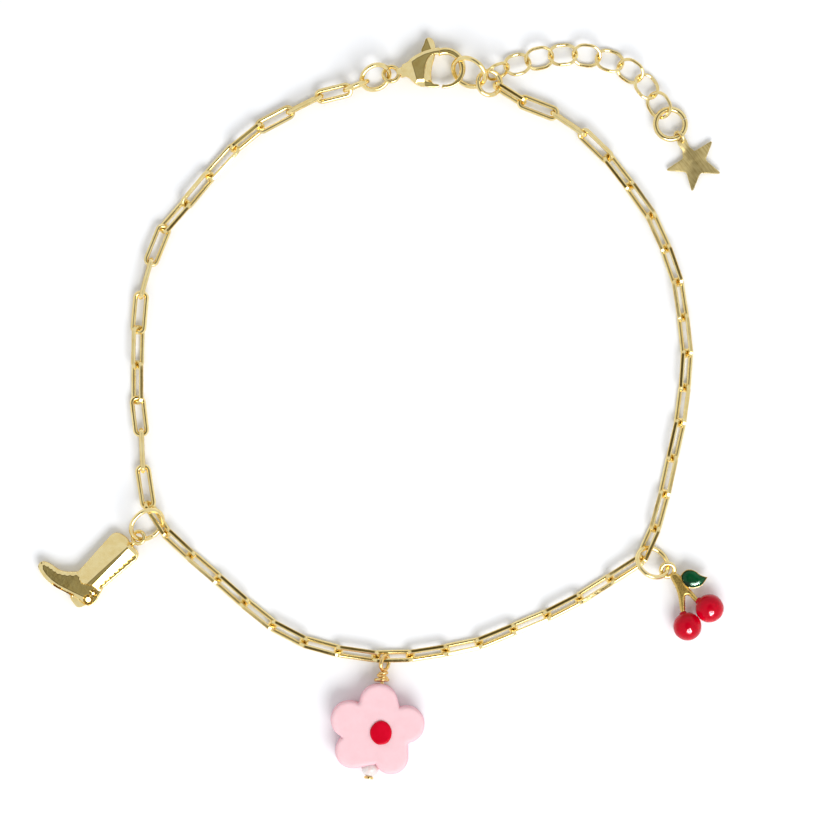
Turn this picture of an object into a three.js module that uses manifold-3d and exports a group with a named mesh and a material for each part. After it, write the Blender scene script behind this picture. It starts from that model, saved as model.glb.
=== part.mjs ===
// A gold anklet: a paperclip chain closed with a lobster clasp, a short extension chain with a
// star, and three charms on the loop, a cowboy boot, a clay flower on a head pin and a pair of
// cherries. Millimetres, +Z up. The anklet lies on the plane z = 0, with the clasp towards +Y.

import * as THREE from 'three';
import { mergeVertices } from 'three/addons/utils/BufferGeometryUtils.js';
import Module from 'manifold-3d';

const wasm = await Module();
wasm.setup();

// ---------------------------------------------------------------------------------------------
// Driving dimensions

// All positions are measured from a point near the middle of the loop. This is where the middle
// of the anklet's bounding box lies from there, and it becomes the origin.
const MIDDLE = { x: -0.09, y: 0.14 };

// Paperclip links: a wire bent to a long rounded loop
const LINK = { wire: 0.6, width: 2.04, bend: 0.5 };

// Joints between the chain's links, from the clasp end round to the end ring
const CHAIN_JOINTS = [
  [-4.25, 40.88], [-7.9, 40], [-11.7, 38.1], [-15.5, 36.1], [-18.8, 33.4], [-22, 29.9],
  [-25, 26.3], [-27.8, 23.1], [-29.5, 18.9], [-30.7, 14.6], [-31.1, 10.2], [-31.2, 5.7],
  [-31.2, 1.2], [-30.7, -2.9], [-30.5, -7.6], [-29.8, -12.2], [-27.5, -15.8], [-24.4, -18.7],
  [-20.9, -21.7], [-17.5, -24.7], [-13.9, -27.6], [-9.9, -29.7], [-5.5, -30.9], [-0.7, -31.6],
  [3.7, -31.5], [8.2, -30.8], [12.5, -29.9], [16.9, -28.1], [21.2, -26.3], [25.3, -24.2],
  [29.3, -21.7], [33.2, -19.2], [35, -15.2], [36.2, -10.8], [37.2, -6.2], [38.2, -1.7],
  [38.8, 2.8], [39.1, 7.2], [38.6, 11.8], [37.9, 16.3], [36.4, 20.6], [34.5, 24.8],
  [31.8, 28.6], [29, 32.2], [25.8, 35.3], [22.1, 37.8], [18, 39.4], [14.8, 41.4],
];
const LINK_COUNT = CHAIN_JOINTS.length - 1;

// Links rest just clear of the surface. The first is held up at its free end by the ring it
// hangs on.
const REST_GAP = 0.01;
const FIRST_JOINT_HEIGHT = 1.51;

// Roll of each link about the chain in degrees, positive with the loop's inner side raised.
// Along the free stretch the links lie crosswise to each other at an even 45 degrees.
const EVEN_ROLL = 45;
const FIRST_ROLLS = [-20, 80, 15, -57, 31, -35, 48, -15, 85, 10, -41, 46, -5, 85, 5, -58];
const LAST_ROLLS = [-30, 80, 10, -65];

// Stretches of chain between the charms, by their first and last link
const STRETCHES = [
  { name: 'chain_clasp_to_boot', first: 1, last: 16 },
  { name: 'chain_boot_to_flower', first: 17, last: 23 },
  { name: 'chain_flower_to_cherry', first: 24, last: 31 },
  { name: 'chain_cherry_to_end_ring', first: 32, last: 47 },
];

// A joint inside a stretch is closed by this much, and one between two stretches stays open
const JOINT_CLOSE = 0.1;
const JOINT_OPEN = 0.06;

// Extension chain: small oval links between the joints of its route. The first one stands
// steeper than the others, where the end ring holds it up.
const SMALL_LINK = { wire: 0.42, width: 3.3, bend: 1.3, roll: 28, firstRoll: 58 };
const EXTENSION_ROUTE = [
  { x: 13.68, y: 42.78, z: 1.77 },
  { x: 16.05, y: 43.69, z: 1.22 },
  { x: 18.71, y: 44.59, z: 0.93 },
  { x: 21.68, y: 45.27, z: 0.93 },
  { x: 24.76, y: 45.47, z: 0.93 },
  { x: 27.76, y: 45.08, z: 0.93 },
  { x: 30.64, y: 44.12, z: 0.93 },
  { x: 33.04, y: 42.46, z: 0.93 },
  { x: 34.77, y: 40.18, z: 0.93 },
  { x: 36.27, y: 37.68, z: 0.93 },
];

// Jump rings. Each lies tilted, with its highest point in the direction of toward.
const JUMP_RINGS = [
  { name: 'link_ring', x: -3.22, y: 41.37, z: 1.85, across: 3.7, wire: 0.6, tilt: 90, toward: 112 },
  { name: 'clasp_ring', x: -0.75, y: 42.46, z: 1.66, across: 4.3, wire: 0.6, tilt: 40, toward: 120 },
  { name: 'catch_ring', x: 11.2, y: 43.08, z: 1.83, across: 5.0, wire: 0.6, tilt: 45, toward: 56.5 },
  { name: 'end_ring', x: 13.79, y: 41.74, z: 1.45, across: 3.7, wire: 0.6, tilt: 21, toward: 190 },
  { name: 'star_ring', x: 36.97, y: 36.5, z: 0.88, across: 4.56, wire: 0.72, tilt: 9, toward: 206 },
  { name: 'boot_ring', x: -29.95, y: -14.69, z: 2.1, across: 5.0, wire: 0.6, tilt: 43, toward: 132 },
  { name: 'cherry_ring', x: 34.66, y: -19.55, z: 1.7, across: 4.9, wire: 0.6, tilt: 40.4, toward: 231 },
];

// Lobster clasp, measured from the lever's pivot with the hook towards +X
const CLASP = { x: 4.66, y: 42.33, z: 1.3, thickness: 2.4 };
const CLASP_PIN = { radius: 0.3, play: 0.07, inset: 0.35 };
const CLASP_SLOT = 0.96;
const LEVER_THICKNESS = 0.8;
const CLASP_HOOK = { x: 3.52, y: 1.34, radius: 2.6, height: 1.1, from: 116, to: -101 };
const CLASP_LOOP = { x: 3.52, y: 1.1, rx: 1.82, ry: 1.92 };
const CLASP_EYE = { x: -3.41, y: 0.56, z: -0.01, across: 2.5, wire: 0.56, tilt: 16, toward: -72 };

// Star: a flat five-pointed plate with a twisted tab
const STAR = { x: 39.92, y: 31.6, z: 0.55, tip: 3.5, valley: 1.53, thickness: 0.4, first: 121 };
const STAR_TAB = { x: 38.11, y: 34.85, z: 0.83, across: 1.88, wire: 0.4, tilt: 59, toward: 36 };

// Boot, drawn upright from the point under its heel with the toe towards +X, then laid down
const BOOT = { x: -38.99, y: -24.74, turn: 143.3, thickness: 2.4, round: 0.2 };
const BOOT_EYE = { x: -31.03, y: -16.36, z: 1.56, across: 2.06, wire: 0.5, tilt: 19, toward: -17 };
const BOOT_STUB = { x: -32.1, y: -17.4, z: 1.2, radius: 0.32 };

// Flower: a slab of clay. Each petal is an arc, and ends in the notch before the next petal.
const FLOWER = { thickness: 3.5, round: 0.4 };
const PETALS = [
  { x: 3.17, y: -40.19, radius: 2.36, from: -80, to: 110, notch: [2.37, -37.96] },
  { x: -0.34, y: -37.48, radius: 2.47, from: 5, to: 175, notch: [-2.89, -37.44] },
  { x: -4.08, y: -39.55, radius: 2.39, from: 62, to: 240, notch: [-5.04, -41.89] },
  { x: -3.65, y: -43.53, radius: 2.25, from: 133, to: 281, notch: [-0.75, -45.25] },
  { x: 1.25, y: -44.33, radius: 2.2, from: 207, to: 362, notch: [3.39, -42.76] },
];
const FLOWER_DOT = { x: -0.02, y: -41.22, rx: 1.41, ry: 1.52, thickness: 0.25, gap: 0.03 };

// Head pin: from its eye on the chain down through the flower and the pearl to its flat head
const PIN = { wire: 0.44, x: 0.44, y: -32.42, z: 1.25, angle: 262, slope: 0.055, hole: 0.34 };
const PIN_EYE = { radius: 0.95, tilt: 65, toward: 171 };
const PIN_CONE = { from: 1.1, to: 2.3, thin: 0.3, wide: 0.68 };
const PIN_WRAPS = [
  { along: 1.3, radius: 0.42 },
  { along: 1.72, radius: 0.52 },
  { along: 2.14, radius: 0.72 },
];
const PIN_HEAD = { along: 14.78, radius: 0.62, thickness: 0.24 };

// The pearl is pressed a little way into the clay
const PEARL = { along: 13.68, across: 1.1, half: 0.85, play: 0.06 };

// Cherries
const CHERRY_RADIUS = 1.79;
const CHERRIES = [
  { name: 'cherry_left', x: 39.1, y: -27.72 },
  { name: 'cherry_right', x: 41.93, y: -25.4 },
];
const CHERRY_EYE = { x: 36.61, y: -20.53, z: 1.25, across: 2.32, wire: 0.52, tilt: 14, toward: 95 };
const STEM = { z: 1.7, wire: 0.5, collar: 0.34 };
const LEAF = { x: 40.1, y: -21.7, thickness: 0.9, recess: 0.5, inside: 0.89, enamel: 0.83, gap: 0.04 };

// ---------------------------------------------------------------------------------------------
// Materials

const gold = { color: 0xe3c87a, roughness: 0.12, metalness: 1.0 };
const brushedGold = { color: 0xcdb56a, roughness: 0.38, metalness: 1.0 };
const pinGold = { color: 0xe0a53c, roughness: 0.15, metalness: 1.0 };
const pinkClay = { color: 0xf8ccd6, roughness: 0.65, metalness: 0.0 };
const redPaint = { color: 0xd0061f, roughness: 0.25, metalness: 0.0 };
const redEnamel = { color: 0xc8052a, roughness: 0.1, metalness: 0.0 };
const greenEnamel = { color: 0x01502a, roughness: 0.1, metalness: 0.0 };
const pearlWhite = { color: 0xf3ebe6, roughness: 0.25, metalness: 0.0 };

const anklet = new THREE.Group();

function addPiece(name, solid, finish) {
  const mesh = new THREE.Mesh(geometryFrom(solid), new THREE.MeshStandardMaterial(finish));
  mesh.name = name;
  mesh.geometry.translate(-MIDDLE.x, -MIDDLE.y, 0);
  anklet.add(mesh);
}

// ---------------------------------------------------------------------------------------------
// Solids

function solidFrom(geometry) {
  const bare = geometry.index ? geometry.toNonIndexed() : geometry.clone();
  bare.deleteAttribute('normal');
  bare.deleteAttribute('uv');
  const merged = mergeVertices(bare, 1e-5);
  const vertProperties = new Float32Array(merged.attributes.position.array);
  const triVerts = new Uint32Array(merged.index.array);
  return new wasm.Manifold(new wasm.Mesh({ numProp: 3, vertProperties, triVerts }));
}

function geometryFrom(solid) {
  const mesh = solid.getMesh();
  const geometry = new THREE.BufferGeometry();
  geometry.setAttribute('position', new THREE.BufferAttribute(mesh.vertProperties, 3));
  geometry.setIndex(new THREE.BufferAttribute(mesh.triVerts, 1));
  geometry.computeVertexNormals();
  return geometry;
}

const joined = (solids) => solids.reduce((whole, next) => whole.add(next));

const radians = THREE.MathUtils.degToRad;

// A ring lying in the XY plane, leant over so that its side in the direction of toward is up
function tiltedRing({ x, y, z, across, wire, tilt, toward }, sides = 8, steps = 16) {
  const geometry = new THREE.TorusGeometry((across - wire) / 2, wire / 2, sides, steps);
  const axis = new THREE.Vector3(Math.sin(radians(toward)), -Math.cos(radians(toward)), 0);
  geometry.applyMatrix4(new THREE.Matrix4().makeRotationAxis(axis, radians(tilt)));
  geometry.translate(x, y, z);
  return solidFrom(geometry);
}

// The point of a tilted ring's middle line that is nearest to a place beside it
function eyeEdge({ x, y, z, across, wire, tilt, toward }, place) {
  const up = new THREE.Vector3(Math.cos(radians(toward)), Math.sin(radians(toward)), 0);
  up.multiplyScalar(Math.cos(radians(tilt))).setZ(Math.sin(radians(tilt)));
  const level = new THREE.Vector3(-Math.sin(radians(toward)), Math.cos(radians(toward)), 0);
  const away = new THREE.Vector3(place.x - x, place.y - y, place.z - z);
  const towards = up.clone().multiplyScalar(away.dot(up)).addScaledVector(level, away.dot(level));
  return towards.setLength((across - wire) / 2).add(new THREE.Vector3(x, y, z));
}

// A plate in the XY plane with rounded edges, standing on its own mid plane
function plate(shape, thickness, round, curveSegments = 6) {
  const geometry = new THREE.ExtrudeGeometry(shape, {
    depth: thickness - 2 * round,
    bevelThickness: round,
    bevelSize: round,
    bevelOffset: -round,
    bevelSegments: 1,
    curveSegments,
  });
  geometry.translate(0, 0, round - thickness / 2);
  return solidFrom(geometry);
}

// A round bar from one point to another, with its own radius at each end
function bar(from, to, radiusFrom, radiusTo, sides = 8) {
  const geometry = new THREE.CylinderGeometry(radiusTo, radiusFrom, from.distanceTo(to), sides);
  const direction = to.clone().sub(from).normalize();
  const turn = new THREE.Quaternion().setFromUnitVectors(new THREE.Vector3(0, 1, 0), direction);
  geometry.applyQuaternion(turn);
  geometry.translate(...from.clone().add(to).multiplyScalar(0.5).toArray());
  return solidFrom(geometry);
}

// A wire along a curve through a few points
function wire(points, diameter, sides = 4, steps = 5) {
  const section = new THREE.Shape().absarc(0, 0, diameter / 2, 0, 2 * Math.PI);
  const extrudePath = new THREE.CatmullRomCurve3(points);
  return solidFrom(new THREE.ExtrudeGeometry(section, { steps, extrudePath, curveSegments: sides }));
}

function outline(points) {
  return new THREE.Shape(points.map(([x, y]) => new THREE.Vector2(x, y)));
}

// ---------------------------------------------------------------------------------------------
// Chain links

const loopCentre = new THREE.Vector3(2.5, 6, 0);

// A link between the inner faces of its two end bends at a and b. A ring is drawn out to the
// link's length and width: its quarters move apart, and the faces between them become the sides.
function link(a, b, roll, { wire: diameter, width, bend }, steps) {
  const geometry = new THREE.TorusGeometry(bend, diameter / 2, 6, steps);
  geometry.rotateZ(Math.PI / steps);
  const flat = Math.cos(Math.PI / steps);
  const reach = a.distanceTo(b) / 2 - (bend - diameter / 2) * flat;
  const spread = width / 2 - (bend + diameter / 2) * flat;
  const position = geometry.attributes.position;
  for (let i = 0; i < position.count; i += 1) {
    const x = position.getX(i);
    const y = position.getY(i);
    position.setXY(i, x + Math.sign(x) * reach, y + Math.sign(y) * spread);
  }
  const along = b.clone().sub(a).normalize();
  const level = new THREE.Vector3(0, 0, 1).cross(along).normalize();
  const centre = a.clone().add(b).multiplyScalar(0.5);
  if (loopCentre.clone().sub(centre).dot(level) < 0) {
    level.negate();
  }
  const up = along.clone().cross(level);
  if (up.z < 0) {
    up.negate();
  }
  const across = level.multiplyScalar(Math.cos(radians(roll))).addScaledVector(up, Math.sin(radians(roll)));
  const normal = along.clone().cross(across);
  geometry.applyMatrix4(new THREE.Matrix4().makeBasis(along, across, normal));
  geometry.translate(...centre.toArray());
  return solidFrom(geometry);
}

function linkRoll(number) {
  if (number <= FIRST_ROLLS.length) {
    return FIRST_ROLLS[number - 1];
  }
  const fromEnd = LINK_COUNT - number;
  if (fromEnd < LAST_ROLLS.length) {
    return LAST_ROLLS[LAST_ROLLS.length - 1 - fromEnd];
  }
  return number % 2 ? EVEN_ROLL : -EVEN_ROLL;
}

// Height of a link's middle line when its lower side rests on the surface
function restHeight(number) {
  const swing = (LINK.width - LINK.wire) / 2;
  return swing * Math.abs(Math.sin(radians(linkRoll(number)))) + LINK.wire / 2 + REST_GAP;
}

// A joint lies as high as the higher of its two links needs
const joints = CHAIN_JOINTS.map(([x, y], number) => {
  const before = number > 0 ? restHeight(number) : FIRST_JOINT_HEIGHT;
  const after = number < LINK_COUNT ? restHeight(number + 1) : 0;
  return new THREE.Vector3(x, y, Math.max(before, after));
});

// Links first to last of a chain, fused at the joints between them and open at both ends
function linkedAlong(places, first, last, roll, size, steps) {
  const links = [];
  for (let number = first; number <= last; number += 1) {
    const a = places[number - 1].clone();
    const b = places[number].clone();
    const along = b.clone().sub(a).normalize();
    a.addScaledVector(along, number === first ? -JOINT_OPEN / 2 : JOINT_CLOSE / 2);
    b.addScaledVector(along, number === last ? JOINT_OPEN / 2 : -JOINT_CLOSE / 2);
    links.push(link(a, b, roll(number), size, steps));
  }
  return joined(links);
}

for (const { name, first, last } of STRETCHES) {
  addPiece(name, linkedAlong(joints, first, last, linkRoll, LINK, 8), gold);
}

const smallJoints = EXTENSION_ROUTE.map(({ x, y, z }) => new THREE.Vector3(x, y, z));

function smallRoll(number) {
  if (number === 1) {
    return -SMALL_LINK.firstRoll;
  }
  return number % 2 ? -SMALL_LINK.roll : SMALL_LINK.roll;
}

const extension = linkedAlong(smallJoints, 1, smallJoints.length - 1, smallRoll, SMALL_LINK, 10);
addPiece('extension_chain', extension, gold);

for (const ring of JUMP_RINGS) {
  addPiece(ring.name, tiltedRing(ring), gold);
}

// ---------------------------------------------------------------------------------------------
// Lobster clasp

// The flat body, from the neck to the hook's root
function claspCheeks() {
  const shape = outline([
    [-2.24, 0],
    [-1.47, 0.22],
    [-1.09, 0],
    [-0.64, -0.45],
    [-0.13, -0.83],
    [0.38, -1.06],
    [0.93, -1.1],
    [0.83, -0.13],
    [0.87, 0.64],
    [0.96, 1.54],
    [1.22, 2.3],
    [1.54, 2.75],
    [2.05, 3.1],
    [2.82, 3.1],
    [2.82, 3.94],
    [1.92, 3.78],
    [0.77, 3.46],
    [-0.38, 2.88],
    [-0.9, 2.5],
    [-1.28, 2.11],
    [-1.66, 1.88],
    [-2.05, 1.75],
  ]);
  return plate(shape, CLASP.thickness, 0.15);
}

function claspHook() {
  const { x, y, radius, height, from, to } = CLASP_HOOK;
  const shape = new THREE.Shape();
  shape.absarc(x, y, radius, radians(from), radians(to), true);
  shape.absellipse(CLASP_LOOP.x, CLASP_LOOP.y, CLASP_LOOP.rx, CLASP_LOOP.ry,
    radians(to), radians(from), false);
  return plate(shape, height, 0.14, 9);
}

// The room that the lever turns in, open to the loop and to the thumb's side
function leverSlot() {
  const shape = outline([
    [-1.54, 4.1],
    [-1.22, 2.18],
    [-0.83, 0.9],
    [-0.83, -0.13],
    [-0.77, -1.54],
    [4.1, -1.54],
    [4.1, 2.94],
    [2.34, 2.94],
    [2.34, 4.1],
  ]);
  const geometry = new THREE.ExtrudeGeometry(shape, { depth: CLASP_SLOT, bevelEnabled: false });
  geometry.translate(0, 0, -CLASP_SLOT / 2);
  return solidFrom(geometry);
}

function pivotBar(radius, half) {
  return bar(new THREE.Vector3(0, 0, -half), new THREE.Vector3(0, 0, half), radius, radius, 12);
}

function claspBody() {
  const pin = pivotBar(CLASP_PIN.radius, CLASP.thickness / 2 - CLASP_PIN.inset);
  const neck = bar(new THREE.Vector3(-2.7, 0.75, 0), new THREE.Vector3(-1.7, 0.95, 0), 0.45, 0.7);
  const cheeks = claspCheeks().subtract(leverSlot());
  const solid = joined([cheeks, pin, claspHook(), neck, tiltedRing(CLASP_EYE)]);
  return solid.translate([CLASP.x, CLASP.y, CLASP.z]);
}

// Thumb tab, hub and the curved arm that closes the loop
function claspLever() {
  const shape = outline([
    [-0.61, 0],
    [-0.54, -0.38],
    [-0.26, -0.64],
    [0.38, -0.93],
    [1.28, -1.13],
    [2.18, -1.2],
    [2.74, -1.13],
    [2.76, -0.87],
    [2.56, -0.74],
    [1.98, -0.68],
    [1.79, -0.32],
    [1.7, 0.51],
    [1.83, 1.54],
    [2.11, 2.43],
    [2.25, 3.26],
    [2.25, 4.1],
    [2.11, 4.67],
    [1.73, 5.17],
    [1.22, 5.22],
    [0.96, 4.99],
    [0.77, 4.35],
    [0.45, 3.71],
    [0.32, 2.82],
    [0, 1.66],
    [-0.45, 0.51],
  ]);
  const hole = pivotBar(CLASP_PIN.radius + CLASP_PIN.play, 1);
  const solid = plate(shape, LEVER_THICKNESS, 0.1).subtract(hole);
  return solid.translate([CLASP.x, CLASP.y, CLASP.z]);
}

addPiece('clasp_body', claspBody(), gold);
addPiece('clasp_lever', claspLever(), gold);

// ---------------------------------------------------------------------------------------------
// Star

function star() {
  const points = [];
  for (let corner = 0; corner < 10; corner += 1) {
    const angle = radians(STAR.first + 36 * corner);
    const radius = corner % 2 ? STAR.valley : STAR.tip;
    points.push([radius * Math.cos(angle), radius * Math.sin(angle)]);
  }
  const body = plate(outline(points), STAR.thickness, 0.06).translate([STAR.x, STAR.y, STAR.z]);
  return body.add(tiltedRing(STAR_TAB, 6, 12));
}

addPiece('star', star(), brushedGold);

// ---------------------------------------------------------------------------------------------
// Boot

function boot() {
  const side = outline([
    [6.28, 0.5],
    [5.41, 0.19],
    [4.33, 0.03],
    [3.23, 0.05],
    [1.21, 0.4],
    [0.96, 0],
    [0.48, -0.2],
    [-0.29, -0.39],
    [-0.73, -0.2],
    [-1.08, 0.48],
    [-1.7, 0.8],
    [-1.9, 1.41],
    [-1.73, 2.72],
    [-1.55, 3.71],
    [-2.39, 7.29],
    [-2.86, 9.12],
    [-2.72, 9.69],
    [-2.29, 10],
    [-1.29, 10.06],
    [-0.09, 10.6],
    [0.8, 10.5],
    [1.34, 10.26],
    [1.65, 9.74],
    [1.68, 8.25],
    [2.06, 4.69],
    [2.22, 3.42],
    [2.59, 3.05],
    [3.54, 2.39],
    [4.27, 2.08],
    [5.83, 2.04],
    [6.6, 1.78],
    [6.86, 1.38],
    [6.77, 0.86],
  ]);
  const turned = plate(side, BOOT.thickness, BOOT.round).mirror([0, 1, 0]).rotate([0, 0, BOOT.turn]);
  const body = turned.translate([BOOT.x, BOOT.y, BOOT.thickness / 2]);
  const stub = bar(new THREE.Vector3(BOOT_STUB.x, BOOT_STUB.y, BOOT_STUB.z), eyeEdge(BOOT_EYE, BOOT_STUB),
    BOOT_STUB.radius, BOOT_EYE.wire / 2);
  return joined([body, stub, tiltedRing(BOOT_EYE)]);
}

addPiece('boot', boot(), gold);

// ---------------------------------------------------------------------------------------------
// Flower on its head pin

// A point at a distance along the pin from the middle of its eye
function onPin(along) {
  const angle = radians(PIN.angle);
  return new THREE.Vector3(
    PIN.x + along * Math.cos(angle),
    PIN.y + along * Math.sin(angle),
    PIN.z + along * PIN.slope,
  );
}

function pinHole(from, to) {
  return bar(onPin(from), onPin(to), PIN.hole, PIN.hole, 10);
}

function pearlShape(play) {
  const geometry = new THREE.SphereGeometry(1, 16, 12);
  geometry.scale(PEARL.across + play, PEARL.half + play, PEARL.across + play);
  geometry.applyQuaternion(new THREE.Quaternion().setFromUnitVectors(
    new THREE.Vector3(0, 1, 0), onPin(1).sub(onPin(0)).normalize()));
  geometry.translate(...onPin(PEARL.along).toArray());
  return solidFrom(geometry);
}

function flower() {
  const shape = new THREE.Shape();
  for (const { x, y, radius, from, to, notch } of PETALS) {
    shape.absarc(x, y, radius, radians(from), radians(to));
    shape.lineTo(...notch);
  }
  const slab = plate(shape, FLOWER.thickness, FLOWER.round, 7).translate([0, 0, FLOWER.thickness / 2]);
  return slab.subtract(pinHole(0, PEARL.along)).subtract(pearlShape(PEARL.play));
}

function flowerDot() {
  const geometry = new THREE.CylinderGeometry(0.92, 1, FLOWER_DOT.thickness, 20);
  geometry.rotateX(Math.PI / 2);
  geometry.scale(FLOWER_DOT.rx, FLOWER_DOT.ry, 1);
  geometry.translate(FLOWER_DOT.x, FLOWER_DOT.y,
    FLOWER.thickness + FLOWER_DOT.gap + FLOWER_DOT.thickness / 2);
  return solidFrom(geometry);
}

function headPin() {
  const { radius, tilt, toward } = PIN_EYE;
  const eye = tiltedRing({
    x: PIN.x, y: PIN.y, z: PIN.z, across: 2 * radius + PIN.wire, wire: PIN.wire, tilt, toward,
  });
  const shank = bar(onPin(radius - 0.05), onPin(PIN_HEAD.along), PIN.wire / 2, PIN.wire / 2);
  const head = bar(onPin(PIN_HEAD.along - PIN_HEAD.thickness / 2),
    onPin(PIN_HEAD.along + PIN_HEAD.thickness / 2), PIN_HEAD.radius, PIN_HEAD.radius, 14);
  const turn = new THREE.Quaternion().setFromUnitVectors(
    new THREE.Vector3(0, 0, 1), onPin(1).sub(onPin(0)).normalize());
  const wraps = PIN_WRAPS.map(({ along, radius: wrapRadius }) => {
    const geometry = new THREE.TorusGeometry(wrapRadius, PIN.wire / 2 + 0.02, 6, 12);
    geometry.applyQuaternion(turn);
    geometry.translate(...onPin(along).toArray());
    return solidFrom(geometry);
  });
  const cone = bar(onPin(PIN_CONE.from), onPin(PIN_CONE.to), PIN_CONE.thin, PIN_CONE.wide, 10);
  return joined([eye, shank, head, cone, ...wraps]);
}

function pearl() {
  return pearlShape(0).subtract(pinHole(PEARL.along - 2, PEARL.along + 2));
}

addPiece('flower', flower(), pinkClay);
addPiece('flower_dot', flowerDot(), redPaint);
addPiece('head_pin', headPin(), pinGold);
addPiece('pearl', pearl(), pearlWhite);

// ---------------------------------------------------------------------------------------------
// Cherries

// The leaf's outline about its middle, at a share of its full size
function leafPlate(share, thickness, round, bottom) {
  const shape = new THREE.Shape();
  shape.moveTo(-1.8, 0.4);
  shape.quadraticCurveTo(-1.4, 1.35, -0.5, 1.27);
  shape.quadraticCurveTo(0.1, 1.15, 0.6, 0.7);
  shape.quadraticCurveTo(1.1, 0.33, 1.85, 0.26);
  shape.quadraticCurveTo(1.4, -0.35, 1, -0.75);
  shape.quadraticCurveTo(0.2, -1.3, -0.8, -1.08);
  shape.quadraticCurveTo(-1.7, -0.65, -1.8, 0.4);
  const solid = plate(shape, thickness, round, 4).scale([share, share, 1]);
  return solid.translate([LEAF.x, LEAF.y, bottom + thickness / 2]);
}

const leafBottom = STEM.z - LEAF.thickness / 2;
const leafFloor = leafBottom + LEAF.thickness - LEAF.recess;

function cherryStem() {
  const root = new THREE.Vector3(37.3, -21.5, STEM.z);
  const fork = new THREE.Vector3(38.25, -22.95, STEM.z);
  const leftEnd = new THREE.Vector3(38.52, -25.9, STEM.z);
  const rightEnd = new THREE.Vector3(40.36, -24.3, STEM.z);
  const neck = bar(eyeEdge(CHERRY_EYE, root), root, CHERRY_EYE.wire / 2, STEM.collar);
  const trunk = bar(root, fork, STEM.collar, STEM.collar + 0.16);
  const left = wire([fork, new THREE.Vector3(38.4, -24.2, STEM.z), leftEnd], STEM.wire);
  const right = wire([fork, new THREE.Vector3(39.1, -23.6, STEM.z), rightEnd], STEM.wire);
  const stalk = bar(new THREE.Vector3(37.4, -21.9, STEM.z), new THREE.Vector3(38.6, -21.9, STEM.z),
    STEM.collar, STEM.collar);
  const tray = leafPlate(1, LEAF.thickness, 0.1, leafBottom);
  const recess = leafPlate(LEAF.inside, LEAF.thickness, 0, leafFloor);
  const leaf = tray.add(stalk).subtract(recess);
  return joined([neck, trunk, left, right, tiltedRing(CHERRY_EYE), leaf]);
}

for (const { name, x, y } of CHERRIES) {
  const ball = new THREE.SphereGeometry(CHERRY_RADIUS, 16, 10);
  ball.rotateX(Math.PI / 2);
  ball.translate(x, y, CHERRY_RADIUS + 0.02);
  addPiece(name, solidFrom(ball), redEnamel);
}

addPiece('cherry_stem', cherryStem(), gold);
const enamel = leafPlate(LEAF.enamel, LEAF.recess, 0.12, leafFloor + LEAF.gap);
addPiece('leaf_enamel', enamel, greenEnamel);

export default anklet;
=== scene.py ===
"""A gold charm anklet: paperclip chain, lobster clasp, extension chain with a star, and a boot,
a clay flower and a pair of cherries as charms, lying flat on a pale surface."""

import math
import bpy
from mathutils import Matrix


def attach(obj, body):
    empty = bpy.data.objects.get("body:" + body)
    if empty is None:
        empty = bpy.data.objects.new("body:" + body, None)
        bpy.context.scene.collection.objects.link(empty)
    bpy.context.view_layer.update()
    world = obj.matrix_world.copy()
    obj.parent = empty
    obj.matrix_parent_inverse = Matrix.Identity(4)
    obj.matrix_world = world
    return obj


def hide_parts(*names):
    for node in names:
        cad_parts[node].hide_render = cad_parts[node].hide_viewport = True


bl_info = {
    "name": "Charm Anklet",
    "version": (1, 0, 0),
    "blender": (4, 5, 0),
    "location": "View3D > Sidebar > Anklet",
    "description": "Builds the links, clasp and charms of a gold anklet",
    "category": "Add Mesh",
}

import bmesh
import bpy
import numpy as np
from mathutils import Matrix, Vector, noise

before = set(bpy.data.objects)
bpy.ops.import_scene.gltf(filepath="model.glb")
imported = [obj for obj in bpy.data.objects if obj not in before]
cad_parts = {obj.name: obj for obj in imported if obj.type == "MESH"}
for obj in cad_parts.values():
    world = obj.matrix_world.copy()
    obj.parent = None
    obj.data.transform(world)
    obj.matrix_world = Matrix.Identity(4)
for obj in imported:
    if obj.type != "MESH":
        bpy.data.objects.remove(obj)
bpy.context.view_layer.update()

# Shapes are drawn in millimetres about a point near the middle of the loop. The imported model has
# its origin at the middle of its box, which lies here from that point.
MIDDLE = (-0.09, 0.14, 0.0)
MM = 0.001
TO_FRAME = Matrix.Scale(MM, 4) @ Matrix.Translation(-Vector(MIDDLE))

# Edges between faces that turn by more than this are shaded sharp
SHARP_TURN = math.radians(28)

# Width of the border that follows a plate's edge, in millimetres
PLATE_BORDER = 0.035

# Distances in millimetres under which points are merged, a cut meets a point that is there
# already, and an edge counts as level
MERGE_DISTANCE = 1e-4
CUT_TOLERANCE = 1e-5
LEVEL_TOLERANCE = 1e-6

# Steps round a ring and round a link's bend, and sides of the round wires
RING_STEPS = 48
RING_SIDES = 14
CUT_RING_STEPS = 56
CUT_RING_SIDES = 16
LINK_BEND_STEPS = 6
SMALL_BEND_STEPS = 9
SMALL_WIRE_SIDES = 12

# The two bodies, and the slots of the glassy pieces that the glint light shines on
ANKLET = "anklet"
LEVER = "lever"
GLASSY_SLOTS = ("red_enamel", "green_enamel")

# Direction of the star's brushing
BRUSH_TURN = math.radians(38)

# Part of a noise pattern's range that is spread over the whole of a finish's range
NOISE_LOW = 0.3
NOISE_HIGH = 0.7

# The stage, in metres
FLOOR_REACH = 2.0
NEAREST_SEEN = 0.01
FILL_SIZE = 2.0
FILL_HEIGHT = 1.2

# Width of the camera's sensor in millimetres, side from which the main light comes, and its
# depth as a share of its width
SENSOR_WIDTH = 36.0
MAIN_HEADING = (0.36, -0.93, 0.0)
LIGHT_DEPTH = 0.8

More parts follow.
